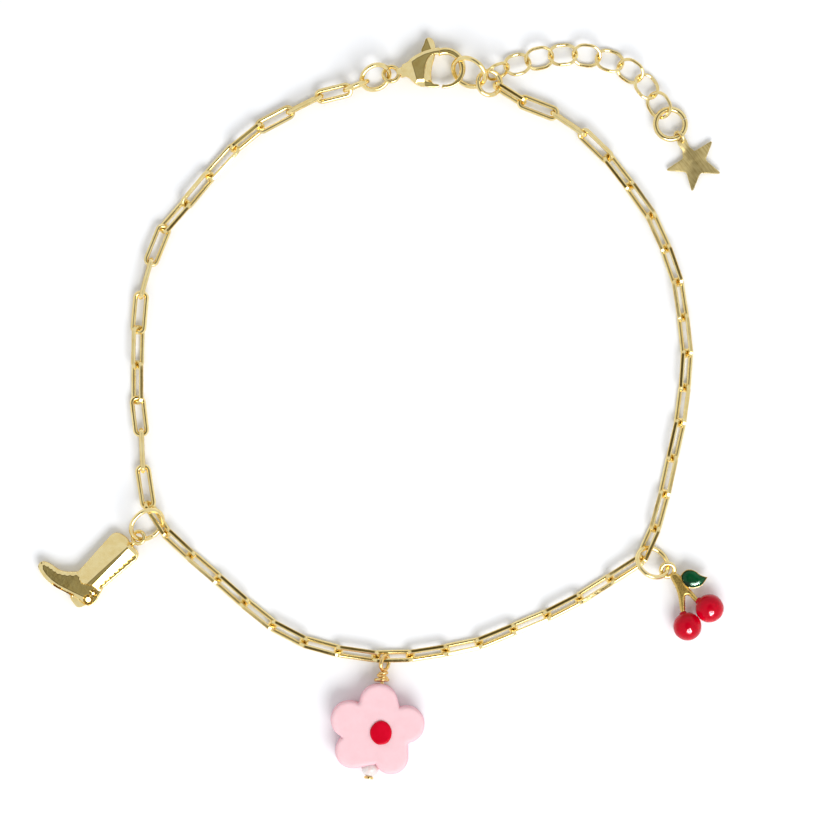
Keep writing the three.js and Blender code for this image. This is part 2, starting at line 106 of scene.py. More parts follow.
# Colour of the studio's walls and ceiling by the upward part of the direction looked in, and
# how much narrower the dark part overhead is from side to side
SKY_STOPS = (
    (0.0, (0.95, 0.97, 1.03)),
    (0.7, (0.98, 0.99, 1.02)),
    (0.79, (0.8, 0.79, 0.76)),
    (0.86, (0.2, 0.17, 0.1)),
    (0.93, (0.1, 0.08, 0.035)),
    (0.975, (0.13, 0.11, 0.06)),
    (0.99, (0.4, 0.38, 0.28)),
    (1.0, (0.44, 0.42, 0.31)),
)
SKY_NARROWING = (0.62, 1.0, 1.0)

# ---------------------------------------------------------------------------------------------
# Tables of the anklet's shape, in millimetres and degrees

CHAIN_JOINTS = (
    (-4.25, 40.88), (-7.9, 40), (-11.7, 38.1), (-15.5, 36.1), (-18.8, 33.4), (-22, 29.9),
    (-25, 26.3), (-27.8, 23.1), (-29.5, 18.9), (-30.7, 14.6), (-31.1, 10.2), (-31.2, 5.7),
    (-31.2, 1.2), (-30.7, -2.9), (-30.5, -7.6), (-29.8, -12.2), (-27.5, -15.8), (-24.4, -18.7),
    (-20.9, -21.7), (-17.5, -24.7), (-13.9, -27.6), (-9.9, -29.7), (-5.5, -30.9), (-0.7, -31.6),
    (3.7, -31.5), (8.2, -30.8), (12.5, -29.9), (16.9, -28.1), (21.2, -26.3), (25.3, -24.2),
    (29.3, -21.7), (33.2, -19.2), (35, -15.2), (36.2, -10.8), (37.2, -6.2), (38.2, -1.7),
    (38.8, 2.8), (39.1, 7.2), (38.6, 11.8), (37.9, 16.3), (36.4, 20.6), (34.5, 24.8),
    (31.8, 28.6), (29, 32.2), (25.8, 35.3), (22.1, 37.8), (18, 39.4), (14.8, 41.4),
)
LINK_COUNT = len(CHAIN_JOINTS) - 1
FIRST_JOINT_HEIGHT = 1.51
# Gap under a link that rests, and play of its ends at its joints
REST_GAP = 0.01
# Roll of the links about their length: to and fro along most of the chain, and one by one at
# its start and its end
EVEN_ROLL = 45
FIRST_ROLLS = (-20, 80, 15, -57, 31, -35, 48, -15, 85, 10, -41, 46, -5, 85, 5, -58)
LAST_ROLLS = (-30, 80, 10, -65)
# Degrees by which the cut facets roll to and fro, and radians of that wave from link to link
FACET_WANDER = 3
FACET_WAVE = 2.4
LOOP_CENTRE = Vector((2.5, 6.0, 0.0))
# name, first and last link
STRETCHES = (
    ("chain_clasp_to_boot", 1, 16),
    ("chain_boot_to_flower", 17, 23),
    ("chain_flower_to_cherry", 24, 31),
    ("chain_cherry_to_end_ring", 32, 47),
)

EXTENSION_ROUTE = (
    (13.68, 42.78, 1.77), (16.05, 43.69, 1.22), (18.71, 44.59, 0.93), (21.68, 45.27, 0.93),
    (24.76, 45.47, 0.93), (27.76, 45.08, 0.93), (30.64, 44.12, 0.93), (33.04, 42.46, 0.93),
    (34.77, 40.18, 0.93), (36.27, 37.68, 0.93),
)
SMALL_ROLL = 28
SMALL_FIRST_ROLL = 58

# name, x, y, z, width across, wire, tilt, side that is up, side that the ring's cut is on
JUMP_RINGS = (
    ("link_ring", -3.22, 41.37, 1.85, 3.7, 0.6, 90, 112, 250),
    ("clasp_ring", -0.75, 42.46, 1.66, 4.3, 0.6, 40, 120, 40),
    ("catch_ring", 11.2, 43.08, 1.83, 5.0, 0.6, 45, 56.5, 190),
    ("end_ring", 13.79, 41.74, 1.45, 3.7, 0.6, 21, 190, 300),
    ("star_ring", 36.97, 36.5, 0.88, 4.56, 0.72, 9, 206, 20),
    ("boot_ring", -29.95, -14.69, 2.1, 5.0, 0.6, 43, 132, 300),
    ("cherry_ring", 34.66, -19.55, 1.7, 4.9, 0.6, 40.4, 231, 247),
)

# The clasp is drawn about its lever's pivot. An eye is given by its x, y, z, width across,
# wire, tilt and side that is up, and a bar by its two ends and its radius at each.
CLASP_PIVOT = (4.66, 42.33, 1.3)
CLASP_EYE = (-3.41, 0.56, -0.01, 2.5, 0.56, 16, -72)
CLASP_NECK = ((-2.7, 0.75, 0), (-1.6, 0.97, 0), 0.42, 0.72)
CLASP_PIN = ((0, 0, -0.85), (0, 0, 0.85), 0.3, 0.3)
# Heights over the middle of the clasp's thickness
CHEEK_TOP = 1.2
HOOK_TOP = 0.5
LEVER_ARM_TOP = 0.42
LEVER_TAB_TOP = 0.4
LEVER_UNDERSIDE = -0.4
# The hook's outer and inner arc, by middle and radii, and the angles between which they run
HOOK_OUTSIDE = ((3.52, 1.34), (2.6, 2.6))
HOOK_INSIDE = ((3.52, 1.1), (1.82, 1.92))
HOOK_START = 116
HOOK_END = -101
HOOK_STEPS = 24
CLASP_CHEEK = (
    (-2.24, 0), (-1.47, 0.22), (-1.09, 0), (-0.64, -0.45), (-0.13, -0.83), (0.38, -1.06),
    (0.93, -1.1), (0.83, -0.13), (0.87, 0.64), (0.96, 1.54), (1.22, 2.3), (1.54, 2.75),
    (2.05, 3.1), (2.82, 3.1), (2.82, 3.94), (1.92, 3.78), (0.77, 3.46), (-0.38, 2.88),
    (-0.9, 2.5), (-1.28, 2.11), (-1.66, 1.88), (-2.05, 1.75),
)
CLASP_BACK = ((-2.4, 1.6), (-1.28, 2.25), (-0.38, 2.9), (0.77, 3.48), (1.92, 3.8), (2.82, 3.94))
CLASP_LEVER = (
    (-0.61, 0), (-0.54, -0.38), (-0.26, -0.64), (0.38, -0.93), (1.28, -1.13), (2.18, -1.2),
    (2.74, -1.13), (2.76, -0.87), (2.56, -0.74), (1.98, -0.68), (1.79, -0.32), (1.7, 0.51),
    (1.83, 1.54), (2.11, 2.43), (2.25, 3.26), (2.25, 4.1), (2.11, 4.67), (1.73, 5.17),
    (1.22, 5.22), (0.96, 4.99), (0.77, 4.35), (0.45, 3.71), (0.32, 2.82), (0, 1.66),
    (-0.45, 0.51),
)

STAR = (39.99, 31.54, 0.55)
STAR_TURN = 122.5
STAR_TIP = 3.5
STAR_VALLEY = 1.53
STAR_HALF_THICKNESS = 0.2
# A tip ends in two corners, a little further out and this many radians to its sides
BLUNT_REACH = 1.01
BLUNT_ASIDE = 0.035
STAR_TAB_TURN = math.radians(119.5)
# distance from the star's middle and shift aside of the neck's corners
STAR_NECK = ((2.1, -0.5), (3.1, -0.66), (3.45, -0.5), (3.45, 0.5), (3.1, 0.66), (2.1, 0.5))
STAR_TAB = (38.11, 34.85, 0.83, 1.88, 0.4, 59, 36)

# lines along the top of the foot and along the welt over the sole
BOOT_THROAT = ((6.6, 1.78), (5.83, 2.04), (4.27, 2.08), (3.54, 2.39), (2.59, 3.05), (2.2, 3.42))
BOOT_WELT = (
    (6.86, 1.2), (6.28, 0.5), (5.41, 0.19), (4.33, 0.03), (3.23, 0.05), (1.21, 0.4), (-0.24, 0.7),
)
BOOT_SOLE = ((3.9, 0.14), (2.95, 0.22), (2.2, 0.3), (1.4, 0.46), (0.9, 0.56))
# lower and upper end of the scalloped back of the shaft, and upper and lower end of its front
BOOT_BACK = ((-1.55, 3.71), (-2.84, 9.12))
BOOT_FRONT = ((1.62, 9.84), (2.2, 3.42))
BEADS = 7
# Heights of the shaft's ridge, the foot, the heel and the rim behind the shaft's beads
BOOT_RIDGE = 2.36
BOOT_FOOT = 1.82
BOOT_HEEL = 1.25
BOOT_RIM = 1.5
# middle and radius
BOOT_STUDS = (((-0.97, 1.28), 0.42), ((-1.01, 2.28), 0.28))
BOOT_PLACE = (-38.99, -24.74, 0)
BOOT_TURN = math.radians(143.3)
BOOT_EYE = (-31.03, -16.36, 1.56, 2.06, 0.5, 19, -17)
BOOT_STUB = ((-32.1, -17.4, 1.2), (-31.55, -16.95, 1.45), 0.34, 0.27)

# petal: middle, radius, first and last angle of its arc, and the notch before the next petal
PETALS = (
    (3.17, -40.19, 2.36, -80, 110, (2.37, -37.96)),
    (-0.34, -37.48, 2.47, 5, 175, (-2.89, -37.44)),
    (-4.08, -39.55, 2.39, 62, 240, (-5.04, -41.89)),
    (-3.65, -43.53, 2.25, 133, 281, (-0.75, -45.25)),
    (1.25, -44.33, 2.2, 207, 362, (3.39, -42.76)),
)
PETAL_STEPS = 18
FLOWER_TOP = 3.5
# Height of the clay's slight swells, and how many there are to a millimetre
CLAY_SWELL = 0.05
CLAY_LUMPS = 0.5
FLOWER_DOT = (-0.02, -41.22)
DOT_RADII = (1.41, 1.52)
DOT_POINTS = 28
DOT_THICKNESS = 0.27

PIN_EYE = (0.44, -32.42, 1.25, 2.34, 0.48, 58, 171)
PIN_START = Vector(PIN_EYE[:3])
PIN_ANGLE = math.radians(262)
PIN_RISE = 0.055
PIN_DIRECTION = Vector((math.cos(PIN_ANGLE), math.sin(PIN_ANGLE), PIN_RISE))
# shank, cone under the wraps and head: start and end along the pin, radius at each, sides and
# rounding of the rims
PIN_BARS = (
    (0.9, 14.78, 0.22, 0.22, 16, 0.0),
    (1.1, 2.3, 0.3, 0.62, 16, 0.0),
    (14.56, 14.92, 0.6, 0.6, 28, 0.14),
)
# place along the pin, radius, slant and shift aside of each turn of wrapped wire
PIN_WRAPS = ((1.3, 0.42, 14, 0.0), (1.74, 0.55, -10, -0.06), (2.16, 0.76, 8, -0.1))
WRAP_WIRE = 0.44
PEARL_ALONG = 13.6

# name, middle and direction of the neck where the stem meets the fruit
CHERRIES = (("cherry_left", 39.1, -27.72, 108), ("cherry_right", 41.93, -25.4, 146))
CHERRY_RADIUS = 1.82
CHERRY_GAP = 0.02
# start from the cherry's middle, reach beyond its skin, and radius at each end
CHERRY_NECK = (1.5, 0.16, 0.62, 0.4)
CHERRY_EYE = (36.61, -20.53, 1.25, 2.3, 0.58, 14, 95)
STEM_HEIGHT = 1.7
CHERRY_STEM = (
    (36.75, -21.05), (37.15, -21.95), (37.6, -22.75), (37.95, -23.9), (38.2, -26.0),
    (38.85, -26.0), (38.8, -24.7), (38.85, -23.75), (39.3, -23.75), (40.2, -24.75),
    (40.65, -24.35), (39.7, -23.2), (38.85, -22.4), (38.6, -21.8), (38.2, -21.25),
    (37.7, -20.85),
)
LEAF_PLACE = (40.02, -21.69, STEM_HEIGHT)
# The leaf's outline about its middle: ends of its curves, and between them the corners that
# pull them out
LEAF_CORNERS = (
    (-1.8, 0.4), (-1.4, 1.35), (-0.5, 1.27), (0.1, 1.15), (0.55, 0.7), (1.0, 0.36), (1.66, 0.3),
    (1.3, -0.35), (0.95, -0.75), (0.2, -1.3), (-0.8, -1.08), (-1.7, -0.65), (-1.8, 0.4),
)
LEAF_STEPS = 6
LEAF_RIM = 0.14
LEAF_SWELL_WIDTH = 0.85


# ---------------------------------------------------------------------------------------------
# Settings a user would change


def length(name, description, default):
    return bpy.props.FloatProperty(
        name=name, description=description, default=default, min=0.0, precision=5,
        subtype="DISTANCE", unit="LENGTH",
    )


def camera_place(name, description, default):
    return bpy.props.FloatProperty(
        name=name, description=description, default=default, precision=5,
        subtype="DISTANCE", unit="LENGTH",
    )


def power(name, description, default):
    return bpy.props.FloatProperty(
        name=name, description=description, default=default, min=0.0, unit="POWER",
    )


def colour(name, description, default):
    return bpy.props.FloatVectorProperty(
        name=name, description=description, default=default, size=3, min=0.0, max=1.0,
        subtype="COLOR",
    )


class AnkletSizes(bpy.types.PropertyGroup):
    """Sizes of the wires and of the small relief"""

    link_wire: length("Link wire", "Thickness of the paperclip links' wire", 0.0006)
    link_width: length("Link width", "Width of a paperclip link over its wires", 0.00204)
    link_bend: length("Link bend", "Radius of a link's corners at the wire's middle", 0.0006)
    small_wire: length("Small wire", "Thickness of the extension chain's wire", 0.00042)
    small_width: length("Small width", "Width of an extension link over its wires", 0.0033)
    small_bend: length("Small bend", "Radius of an extension link's ends", 0.0014)
    ring_cut: length("Ring cut", "Width of the cut where a jump ring was closed", 0.0001)
    clay_round: length("Clay edge", "Rounding of the clay flower's edges", 0.0005)
    stitch: length("Stitch", "Height of the boot's stitched edging", 0.00022)


class AnkletColours(bpy.types.PropertyGroup):
    """Colours of the finishes"""

    gold: colour("Gold", "Pale gold plate", (0.90, 0.75, 0.37))
    gold_deep: colour("Deep gold", "Richer gold where the plate is thicker", (0.85, 0.67, 0.29))
    pin_gold: colour("Pin gold", "Redder gold of the head pin's wire", (0.82, 0.52, 0.2))
    satin: colour("Satin gold", "Gold of the cherries' stem", (0.75, 0.53, 0.16))
    clay: colour("Clay", "Pink polymer clay", (0.885, 0.58, 0.615))
    # Painted shade: deeper pink painted on the clay's sides, where they turn away from the light
    # above
    clay_side_shade: colour("Clay edge", "Deeper pink of the clay's sides", (0.82, 0.45, 0.52))
    paint: colour("Paint", "Red paint of the flower's dot", (0.63, 0.002, 0.022))
    cherry: colour("Cherry", "Red enamel of the cherries", (0.52, 0.0, 0.013))
    leaf: colour("Leaf", "Green enamel of the leaf", (0.0, 0.08, 0.022))
    pearl: colour("Pearl", "Warm white of the pearl", (0.71, 0.67, 0.65))
    floor: colour("Floor", "Pale floor", (0.93, 0.944, 0.968))


class AnkletStage(bpy.types.PropertyGroup):
    """Camera and studio light"""

    camera_height: length("Camera height", "Height of the camera over the anklet", 0.8)
    camera_x: camera_place("Camera x", "Camera's place to the right of the origin", 0.00439)
    camera_y: camera_place("Camera y", "Camera's place beyond the origin", -0.00084)
    lens: bpy.props.FloatProperty(
        name="Lens", description="Focal length in millimetres", default=271.0, min=1.0,
    )
    main_power: power("Main light", "Power of the large soft light", 7.2)
    glint_power: power("Glint light", "Power of the light that only shows as a highlight", 450.0)
    fill_power: power("Fill light", "Power of the overhead light that softens the shadows", 0.2)
    main_tilt: bpy.props.FloatProperty(
        name="Main light tilt", description="Angle of the soft light from straight above",
        default=math.radians(42), subtype="ANGLE",
    )
    main_size: length("Main light size", "Width of the soft light", 0.75)
    sky: bpy.props.FloatProperty(
        name="Surround", description="Brightness of the studio's pale walls", default=0.86,
        min=0.0,
    )


# ---------------------------------------------------------------------------------------------
# Shapes


def only(elements, kind):
    return [e for e in elements if isinstance(e, kind)]


def join(bm, part, matrix=Matrix(), material=0):
    """Adds a closed shape that was drawn on its own to a piece's mesh"""
    bmesh.ops.transform(part, matrix=matrix, verts=part.verts)
    bmesh.ops.recalc_face_normals(part, faces=part.faces)
    for face in part.faces:
        face.material_index = material
    mesh = bpy.data.meshes.new("part")
    part.to_mesh(mesh)
    part.free()
    bm.from_mesh(mesh)
    bpy.data.meshes.remove(mesh)


def section_loop(part, points, offset):
    """Closed loop of edges through (outward, up) points, standing square to the X axis"""
    verts = [part.verts.new((offset[0], offset[1] + u, v)) for u, v in points]
    return [part.edges.new(pair) for pair in zip(verts, verts[1:] + verts[:1])]


def polar(radius, angle):
    """Point at a radius and an angle about the origin"""
    return (radius * math.cos(angle), radius * math.sin(angle))


def arc(middle, radii, start, end, steps):
    """Points along part of an ellipse between two angles in degrees"""
    points = []
    for n in range(steps + 1):
        x, y = polar(1.0, math.radians(start + (end - start) * n / steps))
        points.append((middle[0] + radii[0] * x, middle[1] + radii[1] * y))
    return points


def round_section(radius, sides):
    step = 2 * math.pi / sides
    return [polar(radius, n * step) for n in range(sides)]


def cut_section(radius, turn):
    """Round wire with two flat facets cut along its outer side, rolled by a few degrees, and
    two narrow ones on its inner side"""
    inner = (90, 108, 136, 164, 180, 196, 224, 252, 270)
    facets = (295 + turn, 357 + turn, 3 + turn, 65 + turn)
    return [polar(radius, math.radians(angle)) for angle in inner + facets]


def wire_loop(section, half_length, half_width, bend, steps):
    """Wire round a rounded rectangle in the XY plane, as a run and a turn on each side"""
    part = bmesh.new()
    edges = section_loop(part, section, (bend - half_length, half_width))
    run_x = 2 * (half_length - bend)
    run_y = 2 * (half_width - bend)
    heading = Vector((1, 0, 0))
    corner = Vector((half_length - bend, half_width - bend, 0))
    for side in range(4):
        run = heading * (run_x if side % 2 == 0 else run_y)
        made = bmesh.ops.extrude_edge_only(part, edges=edges)["geom"]
        moved = only(made, bmesh.types.BMVert)
        edges = only(made, bmesh.types.BMEdge)
        bmesh.ops.translate(part, verts=moved, vec=run)
        spun = bmesh.ops.spin(
            part, geom=edges + moved, cent=corner, axis=(0, 0, -1), angle=math.pi / 2,
            steps=steps, use_merge=False,
        )
        edges = only(spun["geom_last"], bmesh.types.BMEdge)
        heading = Vector((heading.y, -heading.x, 0))
        flip = (1, -1, 1) if side % 2 == 0 else (-1, 1, 1)
        corner = Vector([c * f for c, f in zip(corner, flip)])
    bmesh.ops.remove_doubles(part, verts=part.verts, dist=MERGE_DISTANCE)
    return part


def link_rolls():
    """Roll of each link about its length in degrees"""
    rolls = []
    for number in range(1, LINK_COUNT + 1):
        from_end = LINK_COUNT - number
        if number <= len(FIRST_ROLLS):
            rolls.append(FIRST_ROLLS[number - 1])
        elif from_end < len(LAST_ROLLS):
            rolls.append(LAST_ROLLS[len(LAST_ROLLS) - 1 - from_end])
        else:
            rolls.append(EVEN_ROLL if number % 2 else -EVEN_ROLL)
    return rolls


def chain_joints(rolls, width, wire):
    """Joints of the chain, each as high as the higher of its two links needs"""
    swing = (width - wire) / 2
    rest = [swing * abs(math.sin(math.radians(r))) + wire / 2 + REST_GAP for r in rolls]
    joints = []
    for number, (x, y) in enumerate(CHAIN_JOINTS):
        before = rest[number - 1] if number else FIRST_JOINT_HEIGHT
        after = rest[number] if number < LINK_COUNT else 0.0
        joints.append(Vector((x, y, max(before, after))))
    return joints


def link_matrix(a, b, roll):
    """Places a link that is drawn in the XY plane along X between the joints a and b"""
    along = (b - a).normalized()
    level = Vector((0, 0, 1)).cross(along).normalized()
    centre = (a + b) / 2
    if (LOOP_CENTRE - centre).dot(level) < 0:
        level.negate()
    up = along.cross(level)
    if up.z < 0:
        up.negate()
    angle = math.radians(roll)
    across = level * math.cos(angle) + up * math.sin(angle)
    normal = along.cross(across)
    matrix = Matrix((along, across, normal)).transposed().to_4x4()
    matrix.translation = centre
    return matrix


def link(a, b, section, wire, width, bend, steps):
    """Link whose two end bends lie against the joints a and b"""
    half_length = (b - a).length / 2 + wire / 2 - REST_GAP
    return wire_loop(section, half_length, (width - wire) / 2, bend, steps)


def tilt_matrix(x, y, z, tilt, toward):
    """Leans a ring over so that its side in the direction of toward is up"""
    angle = math.radians(toward)
    axis = Vector((math.sin(angle), -math.cos(angle), 0))
    return Matrix.Translation((x, y, z)) @ Matrix.Rotation(math.radians(tilt), 4, axis)


def ring(across, wire, steps=RING_STEPS):
    """Closed ring of round wire"""
    part = bmesh.new()
    section_loop(part, round_section(wire / 2, RING_SIDES), (0, (across - wire) / 2))
    bmesh.ops.spin(
        part, geom=part.edges[:] + part.verts[:], cent=(0, 0, 0), axis=(0, 0, 1),
        angle=2 * math.pi, steps=steps, use_merge=True,
    )
    return part


def add_eye(bm, eye, steps=RING_STEPS):
    """Adds the closed ring by which a charm or the clasp is hung"""
    x, y, z, across, wire, tilt, toward = eye
    join(bm, ring(across, wire, steps), tilt_matrix(x, y, z, tilt, toward))


def cut_ring(across, wire, cut_side, cut_width):
    """Jump ring of round wire with the fine cut where it was bent shut"""
    part = bmesh.new()
    radius = (across - wire) / 2
    gap = cut_width / radius
    first = section_loop(part, round_section(wire / 2, CUT_RING_SIDES), (0, radius))
    turn = Matrix.Rotation(math.radians(cut_side - 90) + gap / 2, 4, "Z")
    bmesh.ops.transform(part, matrix=turn, verts=part.verts)
    bmesh.ops.spin(
        part, geom=first + part.verts[:], cent=(0, 0, 0), axis=(0, 0, 1),
        angle=2 * math.pi - gap, steps=CUT_RING_STEPS, use_merge=False,
    )
    bmesh.ops.holes_fill(part, edges=part.edges[:], sides=0)
    return part


def turn_onto(axis, direction):
    """Matrix that turns an axis into a direction"""
    return Vector(axis).rotation_difference(direction).to_matrix().to_4x4()


def bar(a, b, radius_a, radius_b, sides=16, bevel=0.0):
    """Round bar from a to b with its own radius at each end"""
    part = bmesh.new()
    a = Vector(a)
    b = Vector(b)
    bmesh.ops.create_cone(
        part, cap_ends=True, segments=sides, radius1=radius_a, radius2=radius_b,
        depth=(b - a).length,
    )
    if bevel:
        rims = [
            e for e in part.edges if abs(e.verts[0].co.z - e.verts[1].co.z) < LEVEL_TOLERANCE
        ]
        bmesh.ops.bevel(
            part, geom=rims, offset=bevel, offset_type="OFFSET", segments=3, profile=0.5,
            affect="EDGES", material=-1, clamp_overlap=True,
        )
    place = Matrix.Translation((a + b) / 2) @ turn_onto((0, 0, 1), b - a)
    bmesh.ops.transform(part, matrix=place, verts=part.verts)
    return part


def uneven_ball(radius, segments, rings, unevenness, lumps, seed=Vector()):
    """Ball with slight lumps. With more lumps they are closer together, and another seed
    gives other ones."""
    bm = bmesh.new()
    bmesh.ops.create_uvsphere(bm, u_segments=segments, v_segments=rings, radius=radius)
    for vert in bm.verts:
        vert.co *= 1 + unevenness * noise.noise(vert.co * lumps + seed)
    return bm


def line_distance(points, x, y):
    """Distance of each x, y to the nearest of the segments that join the points"""
    nearest = np.full(x.shape, np.inf)
    for (ax, ay), (bx, by) in zip(points, points[1:]):
        side = np.array((bx - ax, by - ay))
        share = ((x - ax) * side[0] + (y - ay) * side[1]) / max(side @ side, 1e-12)
        share = np.clip(share, 0, 1)
        reach = np.hypot(x - ax - share * side[0], y - ay - share * side[1])
        nearest = np.minimum(nearest, reach)
    return nearest


def past(value):
    """How far a value is above 0, and 0 below that"""
    return np.maximum(value, 0)


def ramped(value, low, high):
    """0 up to low, 1 from high on and a smooth change between them"""
    share = np.clip((value - low) / (high - low), 0, 1)
    return share * share * (3 - 2 * share)


def blend(a, b, share):
    """a where share is 0, b where it is 1 and a mixture between them"""
    return a * (1 - share) + b * share


def rounding(distance, radius):
    """How far a rounded edge has dropped at a distance in from the side"""
    inside = radius - np.minimum(distance, radius)
    return radius - np.sqrt(radius ** 2 - inside ** 2)


def flat_top(level, edge):
    """Upper side at a level with a rounded edge, for relief_plate"""
    return lambda x, y, distance: level - rounding(distance, edge)


def underside(level, edge=0.0):
    """Lower side at a level with a rounded or a square edge, for relief_plate"""
    return lambda x, y, distance: level + rounding(distance, edge)


def relief_plate(outline, top, bottom, spacing, corner=0.0):
    """Closed plate on an outline, with a narrow border and a fine grid inside it. top and
    bottom give the height at x, y and the distance from the edge. corner rounds off corners,
    as a percentage of the sides next to them."""
    part = bmesh.new()
    face = part.faces.new([part.verts.new((x, y, 0.0)) for x, y in outline])
    if corner:
        bmesh.ops.bevel(
            part, geom=part.verts[:], offset=corner, offset_type="PERCENT", segments=3,
            profile=0.5, affect="VERTICES", material=-1, clamp_overlap=True,
        )
        face = max(part.faces, key=lambda f: len(f.verts))
    face.normal_update()
    if face.normal.z < 0:
        face.normal_flip()
    edge = [(v.co.x, v.co.y) for v in face.verts]
    bmesh.ops.inset_region(
        part, faces=[face], thickness=PLATE_BORDER, depth=0.0, use_even_offset=True,
        use_boundary=True,
    )
    for axis in (0, 1):
        values = [point[axis] for point in edge]
        low, high = min(values), max(values)
        count = math.ceil((high - low) / spacing)
        normal = (1, 0, 0) if axis == 0 else (0, 1, 0)
        for n in range(1, count):
            here = low + (high - low) * n / count
            bmesh.ops.bisect_plane(
                part, geom=part.verts[:] + part.edges[:] + part.faces[:],
                dist=CUT_TOLERANCE, plane_co=(here, here, 0), plane_no=normal,
            )
    lower = part.verts[:]
    raised = bmesh.ops.extrude_face_region(part, geom=part.faces[:])["geom"]
    upper = only(raised, bmesh.types.BMVert)
    for verts, height in ((lower, bottom), (upper, top)):
        x = np.array([v.co.x for v in verts])
        y = np.array([v.co.y for v in verts])
        for vert, z in zip(verts, height(x, y, line_distance(edge + edge[:1], x, y))):
            vert.co.z = z
    return part


def piece_from(bm, name, node, slot="gold", finishes=None, body=ANKLET):
    """Makes a mesh drawn in millimetres the piece that stands for a node of the CAD model. Its
    finish is the one named as its slot unless others are given."""
    bmesh.ops.transform(bm, matrix=TO_FRAME, verts=bm.verts)
    for face in bm.faces:
        face.smooth = True
    for edge in bm.edges:
        edge.smooth = len(edge.link_faces) != 2 or edge.calc_face_angle() < SHARP_TURN
    mesh = bpy.data.meshes.new(name)
    bm.to_mesh(mesh)
    bm.free()
    for finish in finishes or (slot,):
        mesh.materials.append(finish_named(finish))
    piece = bpy.data.objects.new(name, mesh)
    bpy.context.scene.collection.objects.link(piece)
    if slot in GLASSY_SLOTS:
        enamelled().objects.link(piece)
    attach(piece, body)
    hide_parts(node)


# ---------------------------------------------------------------------------------------------
# Finishes


def shaded(shade, share):
    """A colour at a share of its strength"""
    return tuple(share * value for value in shade)


def fill_ramp(node, stops):
    """Gives a colour ramp its (position, colour) stops"""
    elements = node.color_ramp.elements
    while len(elements) < len(stops):
        elements.new(0.5)
    for element, (position, shade) in zip(elements, stops):
        element.position = position
        element.color = tuple(shade) + (1.0,)


class Finish:
    """A node material under construction, with its shader and its pattern coordinates in
    millimetres"""

    def __init__(self, name, settings):
        self.material = bpy.data.materials.new(name)
        self.material.use_nodes = True
        self.tree = self.material.node_tree
        self.shader = self.tree.nodes["Principled BSDF"]
        for socket, value in settings.items():
            self.shader.inputs[socket].default_value = value
        coordinates = self.tree.nodes.new("ShaderNodeTexCoord")
        self.mapping = self.tree.nodes.new("ShaderNodeMapping")
        self.mapping.inputs["Scale"].default_value = (1 / MM, 1 / MM, 1 / MM)
        self.join(coordinates.outputs["Object"], self.mapping.inputs["Vector"])

    def join(self, output, socket):
        self.tree.links.new(output, socket)

    def noise(self, scale, detail=2.0, roughness=0.5, stretch=None, turn=0.0):
        texture = self.tree.nodes.new("ShaderNodeTexNoise")
        texture.inputs["Scale"].default_value = scale
        texture.inputs["Detail"].default_value = detail
        texture.inputs["Roughness"].default_value = roughness
        vector = self.mapping.outputs["Vector"]
        if stretch:
            turned = self.tree.nodes.new("ShaderNodeMapping")
            turned.vector_type = "TEXTURE"
            turned.inputs["Rotation"].default_value = (0, 0, turn)
            turned.inputs["Scale"].default_value = stretch
            self.join(vector, turned.inputs["Vector"])
            vector = turned.outputs["Vector"]
        self.join(vector, texture.inputs["Vector"])
        return texture.outputs["Fac"]

    def ramp(self, value, stops):
        node = self.tree.nodes.new("ShaderNodeValToRGB")
        fill_ramp(node, stops)
        self.join(value, node.inputs["Fac"])
        return node.outputs["Color"]

    def span(self, value, low, high):
        node = self.tree.nodes.new("ShaderNodeMapRange")
        node.inputs["From Min"].default_value = NOISE_LOW
        node.inputs["From Max"].default_value = NOISE_HIGH
        node.inputs["To Min"].default_value = low
        node.inputs["To Max"].default_value = high
        self.join(value, node.inputs["Value"])
        return node.outputs["Result"]

    def shade_by(self, pattern, stops):
        self.join(self.ramp(pattern, stops), self.shader.inputs["Base Color"])

    def roughen_by(self, pattern, low, high):
        self.join(self.span(pattern, low, high), self.shader.inputs["Roughness"])

    def bumps(self, layers):
        """Stacks (height, strength, distance in millimetres) layers into the shader's normal"""
        normal = None
        for height, strength, distance in layers:
            node = self.tree.nodes.new("ShaderNodeBump")
            node.inputs["Strength"].default_value = strength
            node.inputs["Distance"].default_value = distance * MM
            self.join(height, node.inputs["Height"])
            if normal:
                self.join(normal, node.inputs["Normal"])
            normal = node.outputs["Normal"]
        self.join(normal, self.shader.inputs["Normal"])


def polished_gold(name, light, deep, roughness=0.1):
    finish = Finish(name, {"Metallic": 1.0, "Specular Tint": (1.0, 0.78, 0.42, 1.0)})
    finish.shade_by(finish.noise(0.9, detail=3.0), ((0.35, deep), (0.6, light)))
    haze = finish.noise(3.5, detail=4.0, roughness=0.6)
    finish.roughen_by(haze, roughness * 0.7, roughness * 1.6)
    waves = finish.noise(2.2, detail=1.0)
    scratches = finish.noise(9.0, detail=2.0, stretch=(1.0, 8.0, 1.0), turn=0.6)
    finish.bumps(((waves, 0.5, 0.012), (scratches, 0.25, 0.003)))
    return finish.material


def brushed_gold(name, light, deep):
    finish = Finish(name, {"Metallic": 1.0, "Anisotropic": 0.4})
    grain = finish.noise(5.5, detail=5.0, roughness=0.7, stretch=(1.0, 14.0, 1.0), turn=BRUSH_TURN)
    finish.shade_by(grain, ((0.4, shaded(deep, 0.8)), (0.58, light)))
    finish.roughen_by(finish.noise(0.8, detail=2.0), 0.3, 0.42)
    finish.bumps(((grain, 0.45, 0.015),))
    return finish.material


def satin_gold(name, shade):
    finish = Finish(name, {"Metallic": 1.0})
    finish.shade_by(finish.noise(1.5, detail=3.0), ((0.35, shaded(shade, 0.8)), (0.65, shade)))
    finish.roughen_by(finish.noise(5.0), 0.22, 0.36)
    finish.bumps(((finish.noise(1.6, detail=1.0), 0.1, 0.01),))
    return finish.material


